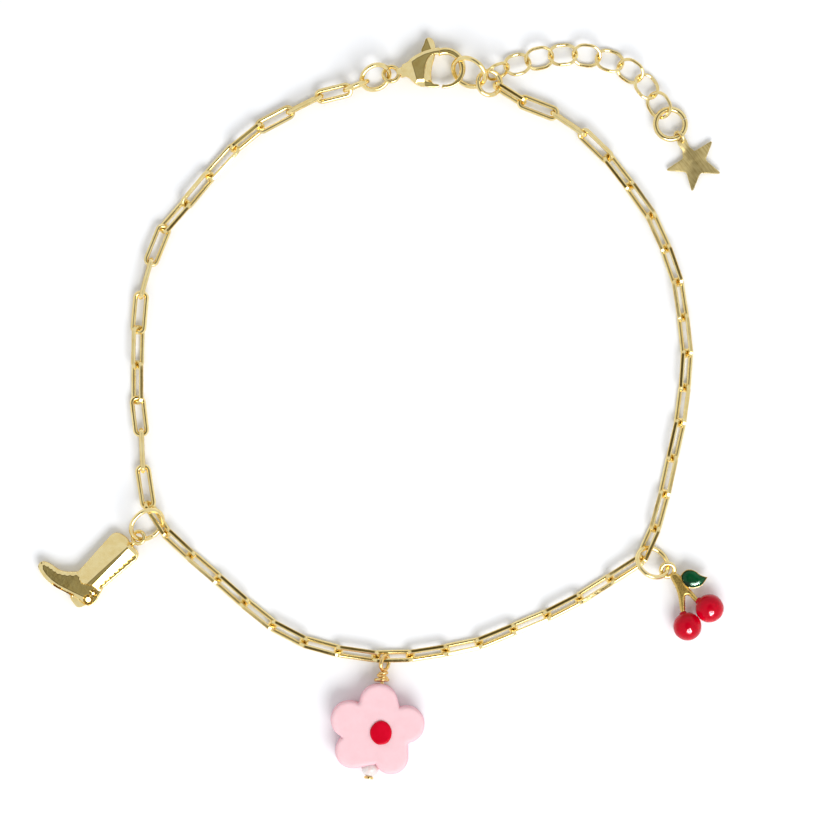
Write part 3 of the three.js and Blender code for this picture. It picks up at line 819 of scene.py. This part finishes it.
def clay_finish(name, face, side):
    finish = Finish(name, {
        "Specular IOR Level": 0.3, "Subsurface Weight": 0.15,
        "Subsurface Radius": (1.0, 0.4, 0.4), "Subsurface Scale": 0.0012,
    })
    geometry = finish.tree.nodes.new("ShaderNodeNewGeometry")
    parts = finish.tree.nodes.new("ShaderNodeSeparateXYZ")
    finish.join(geometry.outputs["Normal"], parts.inputs["Vector"])
    # Painted shade: the clay gets deeper pink the further its surface turns from facing straight up
    upward = finish.ramp(parts.outputs["Z"], ((0.15, side), (0.9, face)))
    mottle = finish.ramp(
        finish.noise(0.7, detail=4.0), ((0.3, (0.93, 0.93, 0.93)), (0.7, (1.0, 1.0, 1.0)))
    )
    mix = finish.tree.nodes.new("ShaderNodeMix")
    mix.data_type = "RGBA"
    mix.blend_type = "MULTIPLY"
    mix.inputs["Factor"].default_value = 1.0
    finish.join(upward, mix.inputs["A"])
    finish.join(mottle, mix.inputs["B"])
    finish.join(mix.outputs["Result"], finish.shader.inputs["Base Color"])
    finish.roughen_by(finish.noise(2.0, detail=3.0), 0.5, 0.68)
    finish.bumps((
        (finish.noise(0.9, detail=2.0), 0.35, 0.08),
        (finish.noise(7.0, detail=4.0), 0.25, 0.015),
    ))
    return finish.material


def enamel_finish(name, shade, dark, tint, wave=0.008, roughness=0.06):
    finish = Finish(name, {"Specular IOR Level": 0.32, "Specular Tint": tint + (1.0,)})
    finish.shade_by(finish.noise(0.55, detail=3.0), ((0.3, dark), (0.65, shade)))
    finish.roughen_by(finish.noise(4.0), roughness, roughness * 1.8)
    finish.bumps(((finish.noise(0.8, detail=1.0), 0.3, wave), (finish.noise(3.0), 0.08, 0.003)))
    return finish.material


def pearl_finish(name, shade):
    finish = Finish(name, {
        "Coat Weight": 0.6, "Coat Roughness": 0.12, "Subsurface Weight": 0.3,
        "Subsurface Radius": (1.0, 0.7, 0.6), "Subsurface Scale": 0.0006,
    })
    pink = (min(1.0, shade[0] * 1.03), shade[1] * 0.88, shade[2] * 0.88)
    finish.shade_by(finish.noise(1.6, detail=3.0), ((0.35, pink), (0.6, shade)))
    finish.roughen_by(finish.noise(5.0), 0.2, 0.35)
    finish.bumps(((finish.noise(1.4), 0.4, 0.06),))
    return finish.material


def floor_finish(name, shade):
    finish = Finish(name, {"Specular IOR Level": 0.1})
    finish.shade_by(finish.noise(0.02, detail=2.0), ((0.3, shaded(shade, 0.985)), (0.7, shade)))
    finish.roughen_by(finish.noise(0.4, detail=4.0), 0.75, 0.9)
    return finish.material


FINISHES = {}


def finish_named(name):
    """One of the anklet's finishes, made when it is first asked for"""
    if name in FINISHES:
        return FINISHES[name]
    colours = bpy.context.scene.anklet_colours
    makers = {
        "gold": lambda: polished_gold(name, colours.gold, colours.gold_deep),
        "pin_gold": lambda: polished_gold(name, colours.pin_gold, colours.gold_deep, 0.14),
        "satin_gold": lambda: satin_gold(name, colours.satin),
        "brushed_gold": lambda: brushed_gold(name, colours.gold, colours.gold_deep),
        "pink_clay": lambda: clay_finish(name, colours.clay, colours.clay_side_shade),
        "red_paint": lambda: enamel_finish(
            name, colours.paint, (0.52, 0.0, 0.012), (1.0, 0.3, 0.35), wave=0.1, roughness=0.16,
        ),
        "red_enamel": lambda: enamel_finish(
            name, colours.cherry, (0.45, 0.0, 0.012), (1.0, 0.42, 0.46),
        ),
        "green_enamel": lambda: enamel_finish(
            name, colours.leaf, (0.0, 0.008, 0.003), (0.7, 1.0, 0.8),
        ),
        "pearl": lambda: pearl_finish(name, colours.pearl),
        "pale_floor": lambda: floor_finish(name, colours.floor),
    }
    FINISHES[name] = makers[name]()
    return FINISHES[name]


# ---------------------------------------------------------------------------------------------
# Operators


def enamelled():
    """Collection of the glassy pieces that the glint light shines on"""
    return bpy.data.collections.get("enamelled") or bpy.data.collections.new("enamelled")


def area_light(name, shape, size, energy):
    """Area light that shines straight down, to be turned and then linked to the scene"""
    data = bpy.data.lights.new(name, "AREA")
    data.shape = shape
    data.size = size
    data.energy = energy
    return bpy.data.objects.new(name, data)


class ANKLET_OT_stage(bpy.types.Operator):
    """Lay the pale floor and set the camera and the studio light"""

    bl_idname = "anklet.stage"
    bl_label = "Stage"

    def execute(self, context):
        stage = context.scene.anklet_stage
        bm = bmesh.new()
        bmesh.ops.create_grid(bm, x_segments=8, y_segments=8, size=FLOOR_REACH)
        mesh = bpy.data.meshes.new("floor")
        bm.to_mesh(mesh)
        bm.free()
        mesh.materials.append(finish_named("pale_floor"))
        floor = bpy.data.objects.new("floor", mesh)
        context.scene.collection.objects.link(floor)

        camera_data = bpy.data.cameras.new("camera")
        camera_data.lens = stage.lens
        camera_data.sensor_width = SENSOR_WIDTH
        camera_data.clip_start = NEAREST_SEEN
        camera = bpy.data.objects.new("camera", camera_data)
        camera.location = (stage.camera_x, stage.camera_y, stage.camera_height)
        context.scene.collection.objects.link(camera)
        context.scene.camera = camera

        narrow = LIGHT_DEPTH * stage.main_size
        main_light = area_light("main_light", "ELLIPSE", stage.main_size, stage.main_power)
        main_light.data.size_y = narrow
        glint_light = area_light("glint_light", "DISK", narrow, stage.glint_power)
        glint_light.visible_diffuse = False
        glint_light.light_linking.receiver_collection = enamelled()
        level = Vector(MAIN_HEADING).normalized() * math.sin(stage.main_tilt)
        reach = level + Vector((0, 0, math.cos(stage.main_tilt)))
        turn = reach.to_track_quat("Z", "Y")
        main_light.location = reach
        main_light.rotation_euler = turn.to_euler()
        glint_light.matrix_world = Matrix.LocRotScale(reach, turn, None)

        fill_light = area_light("fill_light", "DISK", FILL_SIZE, stage.fill_power)
        fill_light.location = (0, 0, FILL_HEIGHT)
        fill_light.visible_glossy = False
        fill_light.visible_camera = False
        for light in (main_light, glint_light, fill_light):
            context.scene.collection.objects.link(light)

        world = bpy.data.worlds.new("studio")
        world.use_nodes = True
        context.scene.world = world
        tree = world.node_tree
        background = tree.nodes["Background"]
        background.inputs["Strength"].default_value = stage.sky
        direction = tree.nodes.new("ShaderNodeTexCoord")
        narrowed = tree.nodes.new("ShaderNodeMapping")
        narrowed.vector_type = "NORMAL"
        narrowed.inputs["Scale"].default_value = SKY_NARROWING
        parts = tree.nodes.new("ShaderNodeSeparateXYZ")
        ramp = tree.nodes.new("ShaderNodeValToRGB")
        fill_ramp(ramp, SKY_STOPS)
        tree.links.new(direction.outputs["Generated"], narrowed.inputs["Vector"])
        tree.links.new(narrowed.outputs["Vector"], parts.inputs["Vector"])
        tree.links.new(parts.outputs["Z"], ramp.inputs["Fac"])
        tree.links.new(ramp.outputs["Color"], background.inputs["Color"])
        context.scene.view_settings.view_transform = "Standard"
        return {"FINISHED"}


class ANKLET_OT_chain(bpy.types.Operator):
    """Bend the paperclip links of the loop"""

    bl_idname = "anklet.chain"
    bl_label = "Paperclip chain"

    def execute(self, context):
        sizes = context.scene.anklet_sizes
        wire = sizes.link_wire / MM
        width = sizes.link_width / MM
        bend = sizes.link_bend / MM
        rolls = link_rolls()
        joints = chain_joints(rolls, width, wire)
        for name, first, last in STRETCHES:
            bm = bmesh.new()
            for number in range(first, last + 1):
                a, b = joints[number - 1], joints[number]
                section = cut_section(wire / 2, FACET_WANDER * math.sin(FACET_WAVE * number))
                part = link(a, b, section, wire, width, bend, LINK_BEND_STEPS)
                join(bm, part, link_matrix(a, b, rolls[number - 1]))
            piece_from(bm, name + "_links", name)
        return {"FINISHED"}


class ANKLET_OT_extension(bpy.types.Operator):
    """Bend the small oval links of the extension chain"""

    bl_idname = "anklet.extension"
    bl_label = "Extension chain"

    def execute(self, context):
        sizes = context.scene.anklet_sizes
        wire = sizes.small_wire / MM
        width = sizes.small_width / MM
        bend = sizes.small_bend / MM
        section = round_section(wire / 2, SMALL_WIRE_SIDES)
        joints = [Vector(place) for place in EXTENSION_ROUTE]
        bm = bmesh.new()
        for number in range(1, len(joints)):
            roll = SMALL_ROLL * (-1 if number % 2 else 1)
            if number == 1:
                roll = -SMALL_FIRST_ROLL
            a, b = joints[number - 1], joints[number]
            part = link(a, b, section, wire, width, bend, SMALL_BEND_STEPS)
            join(bm, part, link_matrix(a, b, roll))
        piece_from(bm, "extension_links", "extension_chain")
        return {"FINISHED"}


class ANKLET_OT_rings(bpy.types.Operator):
    """Bend the jump rings"""

    bl_idname = "anklet.rings"
    bl_label = "Jump rings"

    def execute(self, context):
        cut = context.scene.anklet_sizes.ring_cut / MM
        for name, x, y, z, across, wire, tilt, toward, cut_side in JUMP_RINGS:
            bm = bmesh.new()
            join(bm, cut_ring(across, wire, cut_side, cut), tilt_matrix(x, y, z, tilt, toward))
            piece_from(bm, name + "_wire", name)
        return {"FINISHED"}


def cheek_height(x, y, distance):
    """Upper side of the clasp's body: a level facet, one that falls away to the neck, one that
    falls away below, and a bevel along the back"""
    neck_side = (-0.22 - x) * 0.961 + (0.03 - y) * 0.275
    to_neck = CHEEK_TOP - 0.42 * past(neck_side)
    below = -0.1 - y - 0.9 * past(0.04 - x)
    downward = CHEEK_TOP - 0.36 * past(below) - 0.5 * past(below - 0.4)
    bevel = 0.6 * past(0.42 - line_distance(CLASP_BACK, x, y))
    return np.minimum(to_neck, downward) - bevel - rounding(distance, 0.08)


def hook_height(x, y, distance):
    """The hook's band, flattened on top and rounded down at both sides, less so at its tip"""
    return HOOK_TOP - rounding(distance, 0.13 + 0.23 * ramped(y, -0.6, 1.2))


def lever_height(x, y, distance):
    """The lever's arm leans to the right. Its thumb tab is a roof with a ridge along it."""
    left = 0.83 + 0.1 * past(y) ** 1.5
    lean = 0.46 * past(x - left) * ramped(y, -0.5, -0.2)
    arm = LEVER_ARM_TOP - lean - rounding(distance, 0.12)
    ridge = 1.22 + (4.99 - y) * 0.38
    roof = np.minimum(
        LEVER_TAB_TOP - 0.02 * past(ridge - x), LEVER_TAB_TOP - 0.6 * past(x - ridge),
    )
    return blend(arm, roof - rounding(distance, 0.06), ramped(y, 3.2, 3.5))


class ANKLET_OT_clasp(bpy.types.Operator):
    """Make the lobster clasp's body and its lever"""

    bl_idname = "anklet.clasp"
    bl_label = "Lobster clasp"

    def execute(self, context):
        bm = bmesh.new()
        join(bm, relief_plate(
            CLASP_CHEEK, cheek_height, lambda x, y, d: -cheek_height(x, y, d),
            spacing=0.07, corner=25,
        ))
        hook = arc(*HOOK_OUTSIDE, HOOK_START, HOOK_END, HOOK_STEPS)
        hook += arc(*HOOK_INSIDE, HOOK_END, HOOK_START, HOOK_STEPS)
        join(bm, relief_plate(
            hook, hook_height, lambda x, y, d: -hook_height(x, y, d), spacing=0.08,
        ))
        join(bm, bar(*CLASP_NECK))
        add_eye(bm, CLASP_EYE)
        join(bm, bar(*CLASP_PIN))
        bmesh.ops.translate(bm, verts=bm.verts, vec=CLASP_PIVOT)
        piece_from(bm, "clasp_shell", "clasp_body")

        bm = bmesh.new()
        join(bm, relief_plate(
            CLASP_LEVER, lever_height, underside(LEVER_UNDERSIDE, 0.2), spacing=0.07, corner=25,
        ))
        bmesh.ops.translate(bm, verts=bm.verts, vec=CLASP_PIVOT)
        piece_from(bm, "clasp_lever_arm", "clasp_lever", body=LEVER)
        return {"FINISHED"}


def star_outline():
    """The star about its middle, with blunt tips and a neck in the place of one of them"""
    points = []
    for corner in range(1, 10):
        angle = math.radians(STAR_TURN + 36 * corner)
        if corner % 2:
            points.append(polar(STAR_VALLEY, angle))
        else:
            for aside in (-BLUNT_ASIDE, BLUNT_ASIDE):
                points.append(polar(BLUNT_REACH * STAR_TIP, angle + aside))
    cos, sin = polar(1.0, STAR_TAB_TURN)
    for along, aside in STAR_NECK:
        points.append((along * cos - aside * sin, along * sin + aside * cos))
    return points


def star_twist(x, y):
    """How far the neck is raised where it twists into its tab"""
    cos, sin = polar(1.0, STAR_TAB_TURN)
    along = x * cos + y * sin
    aside = y * cos - x * sin
    return ramped(along, 1.6, 3.1) * (0.42 * aside + 0.12)


class ANKLET_OT_star(bpy.types.Operator):
    """Stamp the brushed star with its twisted tab"""

    bl_idname = "anklet.star"
    bl_label = "Star"

    def execute(self, context):
        bm = bmesh.new()
        part = relief_plate(
            star_outline(),
            lambda x, y, d: STAR_HALF_THICKNESS + star_twist(x, y) - rounding(d, 0.07),
            lambda x, y, d: -STAR_HALF_THICKNESS + star_twist(x, y) + rounding(d, 0.05),
            spacing=0.12, corner=12,
        )
        join(bm, part, Matrix.Translation(STAR))
        add_eye(bm, STAR_TAB, steps=36)
        piece_from(bm, "star_plate", "star", "brushed_gold")
        return {"FINISHED"}


def scallops(ends, bulge):
    """Points along a side that swells between notches. A bulge below 0 swells towards -X."""
    start, end = ends
    points = []
    for n in range(2 * BEADS + 1):
        share = n / (2 * BEADS)
        swell = bulge if n % 2 else 0.0
        points.append((
            start[0] + (end[0] - start[0]) * share + swell,
            start[1] + (end[1] - start[1]) * share,
        ))
    return points


def boot_outline():
    """The boot upright with its toe towards +X, with scalloped edging down both sides of its
    shaft"""
    sole_and_heel = [
        (6.28, 0.5), (5.41, 0.19), (4.33, 0.03), (3.23, 0.05), (1.21, 0.4), (0.96, 0),
        (0.48, -0.2), (-0.29, -0.39), (-0.73, -0.2), (-1.08, 0.48), (-1.7, 0.8), (-1.9, 1.41),
        (-1.73, 2.72),
    ]
    top = [(-2.72, 9.69), (-2.29, 10), (-1.29, 10.06), (-0.09, 10.6), (0.8, 10.5), (1.34, 10.26)]
    throat_and_toe = [
        (2.59, 3.05), (3.54, 2.39), (4.27, 2.08), (5.83, 2.04), (6.6, 1.78), (6.86, 1.38),
        (6.77, 0.86),
    ]
    back = scallops(BOOT_BACK, -0.09)
    return sole_and_heel + back + top + scallops(BOOT_FRONT, 0.04) + throat_and_toe


def boot_shaft(x, y, distance, stitch):
    """Two facets that meet in a ridge, with a beaded line and a rim along the back"""
    ridge = -0.9 + (9.29 - y) * 0.194
    front = BOOT_RIDGE - 0.4 * past(x - ridge)
    away = past(ridge - x)
    level = 0.24 + 0.06 * past(9.3 - y)
    side = BOOT_RIDGE - 0.06 * away - 0.38 * past(away - level)
    low, high = BOOT_BACK[0][1], BOOT_BACK[1][1]
    beads = np.abs(np.sin((y - low) / (high - low) * BEADS * math.pi)) ** 0.7
    reach = 1.26 + 0.7 * stitch * beads
    edging = ramped(away, reach, reach + 0.06) * ramped(y, 3.2, 3.6) * (1 - ramped(y, 9.3, 9.6))
    side = blend(side, BOOT_RIM - 0.5 * past(0.14 - distance), edging)
    over_top = y - (9.82 + 0.16 * x)
    return np.minimum(front, side) - 0.55 * past(over_top)


def boot_foot(x, y, stitch):
    """The foot with its notched throat, its welt, the line along its sole and its heel"""
    foot = BOOT_FOOT - 0.02 * past(x - 2) + 0.01 * y
    notches = np.abs(np.sin(x * math.pi / 0.56)) ** 0.5
    band = 0.3 + 1.1 * stitch * notches
    foot = foot - 0.5 * past(band - line_distance(BOOT_THROAT, x, y))
    foot = foot - 0.55 * past(0.46 - line_distance(BOOT_WELT, x, y))
    foot = foot - 0.45 * ramped(0.13 - line_distance(BOOT_SOLE, x, y), 0, 0.1)
    heel = ramped(0.62 - y, 0, 0.12) * (1 - ramped(x, 0.9, 1.1))
    return blend(foot, BOOT_HEEL + 0.3 * y, heel)


def boot_stud(x, y, middle, radius):
    """Round stud whose face leans back towards the heel, in a groove"""
    reach = np.hypot(x - middle[0], y - middle[1])
    lean = 0.38 * (0.845 * (x - middle[0]) + 0.531 * (y - middle[1]))
    face = (0.14 + lean) * (1 - ramped(reach, radius - 0.1, radius))
    groove = 0.3 * ramped(0.16 - np.abs(reach - radius - 0.06), 0, 0.1)
    return face - groove


def boot_height(x, y, distance, stitch):
    """Upper side of the boot. Its foot and its shaft meet in one sharp line at the ankle."""
    ankle = np.maximum(2.54 + 0.55 * (x - 1.09), np.minimum(2.45 - 0.47 * (x - 0.97), 3.0))
    share = ramped(y - ankle, -0.06, 0.06)
    height = blend(boot_foot(x, y, stitch), boot_shaft(x, y, distance, stitch), share)
    for middle, radius in BOOT_STUDS:
        height = height + boot_stud(x, y, middle, radius)
    return height - rounding(distance, 0.1)


class ANKLET_OT_boot(bpy.types.Operator):
    """Cast the boot charm with its facets, stitching, welt and heel"""

    bl_idname = "anklet.boot"
    bl_label = "Boot charm"

    def execute(self, context):
        stitch = context.scene.anklet_sizes.stitch / MM
        bm = bmesh.new()
        part = relief_plate(
            boot_outline(), lambda x, y, d: boot_height(x, y, d, stitch), underside(0, 0.15),
            spacing=0.075, corner=28,
        )
        turned_over = Matrix.Rotation(BOOT_TURN, 4, "Z") @ Matrix.Diagonal((1, -1, 1, 1))
        join(bm, part, Matrix.Translation(BOOT_PLACE) @ turned_over)
        add_eye(bm, BOOT_EYE)
        join(bm, bar(*BOOT_STUB))
        piece_from(bm, "boot_casting", "boot")
        return {"FINISHED"}


def flower_outline():
    """Five petals with a notch between each two"""
    points = []
    for x, y, radius, start, end, notch in PETALS:
        points += arc((x, y), (radius, radius), start, end, PETAL_STEPS)
        points.append(notch)
    return points


def dot_outline():
    """The painted dot about its middle, a little uneven"""
    points = []
    for n in range(DOT_POINTS):
        x, y = polar(1.0, 2 * math.pi * n / DOT_POINTS)
        wobble = 1 + 0.05 * noise.noise(Vector((x * 1.6, y * 1.6, 0)))
        points.append((DOT_RADII[0] * wobble * x, DOT_RADII[1] * wobble * y))
    return points


def clay_swells(x, y):
    places = [Vector((a * CLAY_LUMPS, b * CLAY_LUMPS, 3.0)) for a, b in zip(x, y)]
    return CLAY_SWELL * np.array([noise.noise(place) for place in places])


def on_pin(along):
    """Point on the head pin's middle line"""
    return PIN_START + along * PIN_DIRECTION


class ANKLET_OT_flower(bpy.types.Operator):
    """Form the clay flower, its painted dot, the head pin and the pearl"""

    bl_idname = "anklet.flower"
    bl_label = "Flower charm"

    def execute(self, context):
        edge = context.scene.anklet_sizes.clay_round / MM
        face = FLOWER_TOP - CLAY_SWELL
        bm = bmesh.new()
        join(bm, relief_plate(
            flower_outline(), lambda x, y, d: face + clay_swells(x, y) - rounding(d, edge),
            underside(0, 0.3), spacing=0.16,
        ))
        piece_from(bm, "flower_clay", "flower", "pink_clay")

        bm = bmesh.new()
        part = relief_plate(dot_outline(), flat_top(DOT_THICKNESS, 0.25), underside(0), spacing=0.1)
        join(bm, part, Matrix.Translation(FLOWER_DOT + (FLOWER_TOP,)))
        piece_from(bm, "flower_paint", "flower_dot", "red_paint")

        bm = bmesh.new()
        add_eye(bm, PIN_EYE)
        lean = turn_onto((0, 0, 1), PIN_DIRECTION)
        for along, radius, slant, aside in PIN_WRAPS:
            place = Matrix.Translation(on_pin(along) + Vector((aside, 0, 0)))
            matrix = place @ lean @ Matrix.Rotation(math.radians(slant), 4, "Y")
            join(bm, ring(2 * radius + WRAP_WIRE, WRAP_WIRE, steps=28), matrix)
        for start, end, radius_a, radius_b, sides, bevel in PIN_BARS:
            join(bm, bar(on_pin(start), on_pin(end), radius_a, radius_b, sides, bevel))
        piece_from(bm, "head_pin_wire", "head_pin", finishes=("pin_gold",))

        bm = uneven_ball(1.0, 32, 20, 0.04, 1.7)
        bmesh.ops.scale(bm, verts=bm.verts, vec=(1.1, 1.0, 1.1))
        place = Matrix.Translation(on_pin(PEARL_ALONG)) @ turn_onto((0, 1, 0), PIN_DIRECTION)
        bmesh.ops.transform(bm, matrix=place, verts=bm.verts)
        piece_from(bm, "pearl_bead", "pearl", "pearl")
        return {"FINISHED"}


def leaf_outline(share):
    """The leaf's outline about its middle, at a share of its full size"""
    points = []
    curves = zip(LEAF_CORNERS[0:-1:2], LEAF_CORNERS[1::2], LEAF_CORNERS[2::2])
    for start, middle, end in curves:
        for n in range(LEAF_STEPS):
            t = n / LEAF_STEPS
            points.append(tuple(
                share * ((1 - t) ** 2 * a + 2 * t * (1 - t) * b + t ** 2 * c)
                for a, b, c in zip(start, middle, end)
            ))
    return points


def leaf_tray(x, y, distance):
    """A raised rim round a sunken floor"""
    return np.where(distance > LEAF_RIM, 0.1, 0.45 - rounding(distance, 0.07))


def leaf_dome(x, y, distance):
    """Enamel that swells up from its edge and is level from the swell's width on"""
    share = np.minimum(distance, LEAF_SWELL_WIDTH) / LEAF_SWELL_WIDTH
    return 0.3 + 0.42 * np.sqrt(1 - (1 - share) ** 2)


class ANKLET_OT_cherries(bpy.types.Operator):
    """Cast the cherries' gold stem and leaf and fill them with enamel"""

    bl_idname = "anklet.cherries"
    bl_label = "Cherry charm"

    def execute(self, context):
        bm = bmesh.new()
        add_eye(bm, CHERRY_EYE)
        part = relief_plate(
            CHERRY_STEM, flat_top(0.34, 0.34), underside(-0.3, 0.3), spacing=0.06, corner=30,
        )
        join(bm, part, Matrix.Translation((0, 0, STEM_HEIGHT)), material=1)
        part = relief_plate(leaf_outline(1.0), leaf_tray, underside(-0.45, 0.12), spacing=0.07)
        join(bm, part, Matrix.Translation(LEAF_PLACE))
        piece_from(bm, "cherry_casting", "cherry_stem", finishes=("gold", "satin_gold"))

        bm = bmesh.new()
        part = relief_plate(leaf_outline(0.9), leaf_dome, underside(0.12), spacing=0.08)
        join(bm, part, Matrix.Translation(LEAF_PLACE))
        piece_from(bm, "leaf_fill", "leaf_enamel", "green_enamel")

        neck_start, neck_reach, radius_a, radius_b = CHERRY_NECK
        for name, x, y, neck in CHERRIES:
            middle = Vector((x, y, CHERRY_RADIUS + CHERRY_GAP))
            toward = Vector(polar(1.0, math.radians(neck)) + (0,))
            bm = uneven_ball(CHERRY_RADIUS, 48, 32, 0.012, 0.9, Vector((x, y, 0)))
            bmesh.ops.translate(bm, verts=bm.verts, vec=middle)
            start = middle + neck_start * toward
            end = middle + (CHERRY_RADIUS + neck_reach) * toward
            join(bm, bar(start, end, radius_a, radius_b, bevel=0.1))
            piece_from(bm, name + "_fruit", name, "red_enamel")
        return {"FINISHED"}


class ANKLET_PT_build(bpy.types.Panel):
    """Build steps and settings of the anklet"""

    bl_label = "Anklet"
    bl_idname = "ANKLET_PT_build"
    bl_space_type = "VIEW_3D"
    bl_region_type = "UI"
    bl_category = "Anklet"

    def draw(self, context):
        for step in STEPS:
            self.layout.operator(step.bl_idname)
        for group in GROUPS:
            settings = getattr(context.scene, group)
            for name in settings.__annotations__:
                self.layout.prop(settings, name)


STEPS = (
    ANKLET_OT_stage,
    ANKLET_OT_chain,
    ANKLET_OT_extension,
    ANKLET_OT_rings,
    ANKLET_OT_clasp,
    ANKLET_OT_star,
    ANKLET_OT_boot,
    ANKLET_OT_flower,
    ANKLET_OT_cherries,
)
GROUPS = {
    "anklet_sizes": AnkletSizes,
    "anklet_colours": AnkletColours,
    "anklet_stage": AnkletStage,
}
CLASSES = tuple(GROUPS.values()) + STEPS + (ANKLET_PT_build,)


def register():
    for cls in CLASSES:
        bpy.utils.register_class(cls)
    for name, group in GROUPS.items():
        setattr(bpy.types.Scene, name, bpy.props.PointerProperty(type=group))


def unregister():
    for name in GROUPS:
        delattr(bpy.types.Scene, name)
    for cls in reversed(CLASSES):
        bpy.utils.unregister_class(cls)


def main():
    register()
    bpy.ops.anklet.stage()
    bpy.ops.anklet.chain()
    bpy.ops.anklet.extension()
    bpy.ops.anklet.rings()
    bpy.ops.anklet.clasp()
    bpy.ops.anklet.star()
    bpy.ops.anklet.boot()
    bpy.ops.anklet.flower()
    bpy.ops.anklet.cherries()


if __name__ == "__main__":
    main()
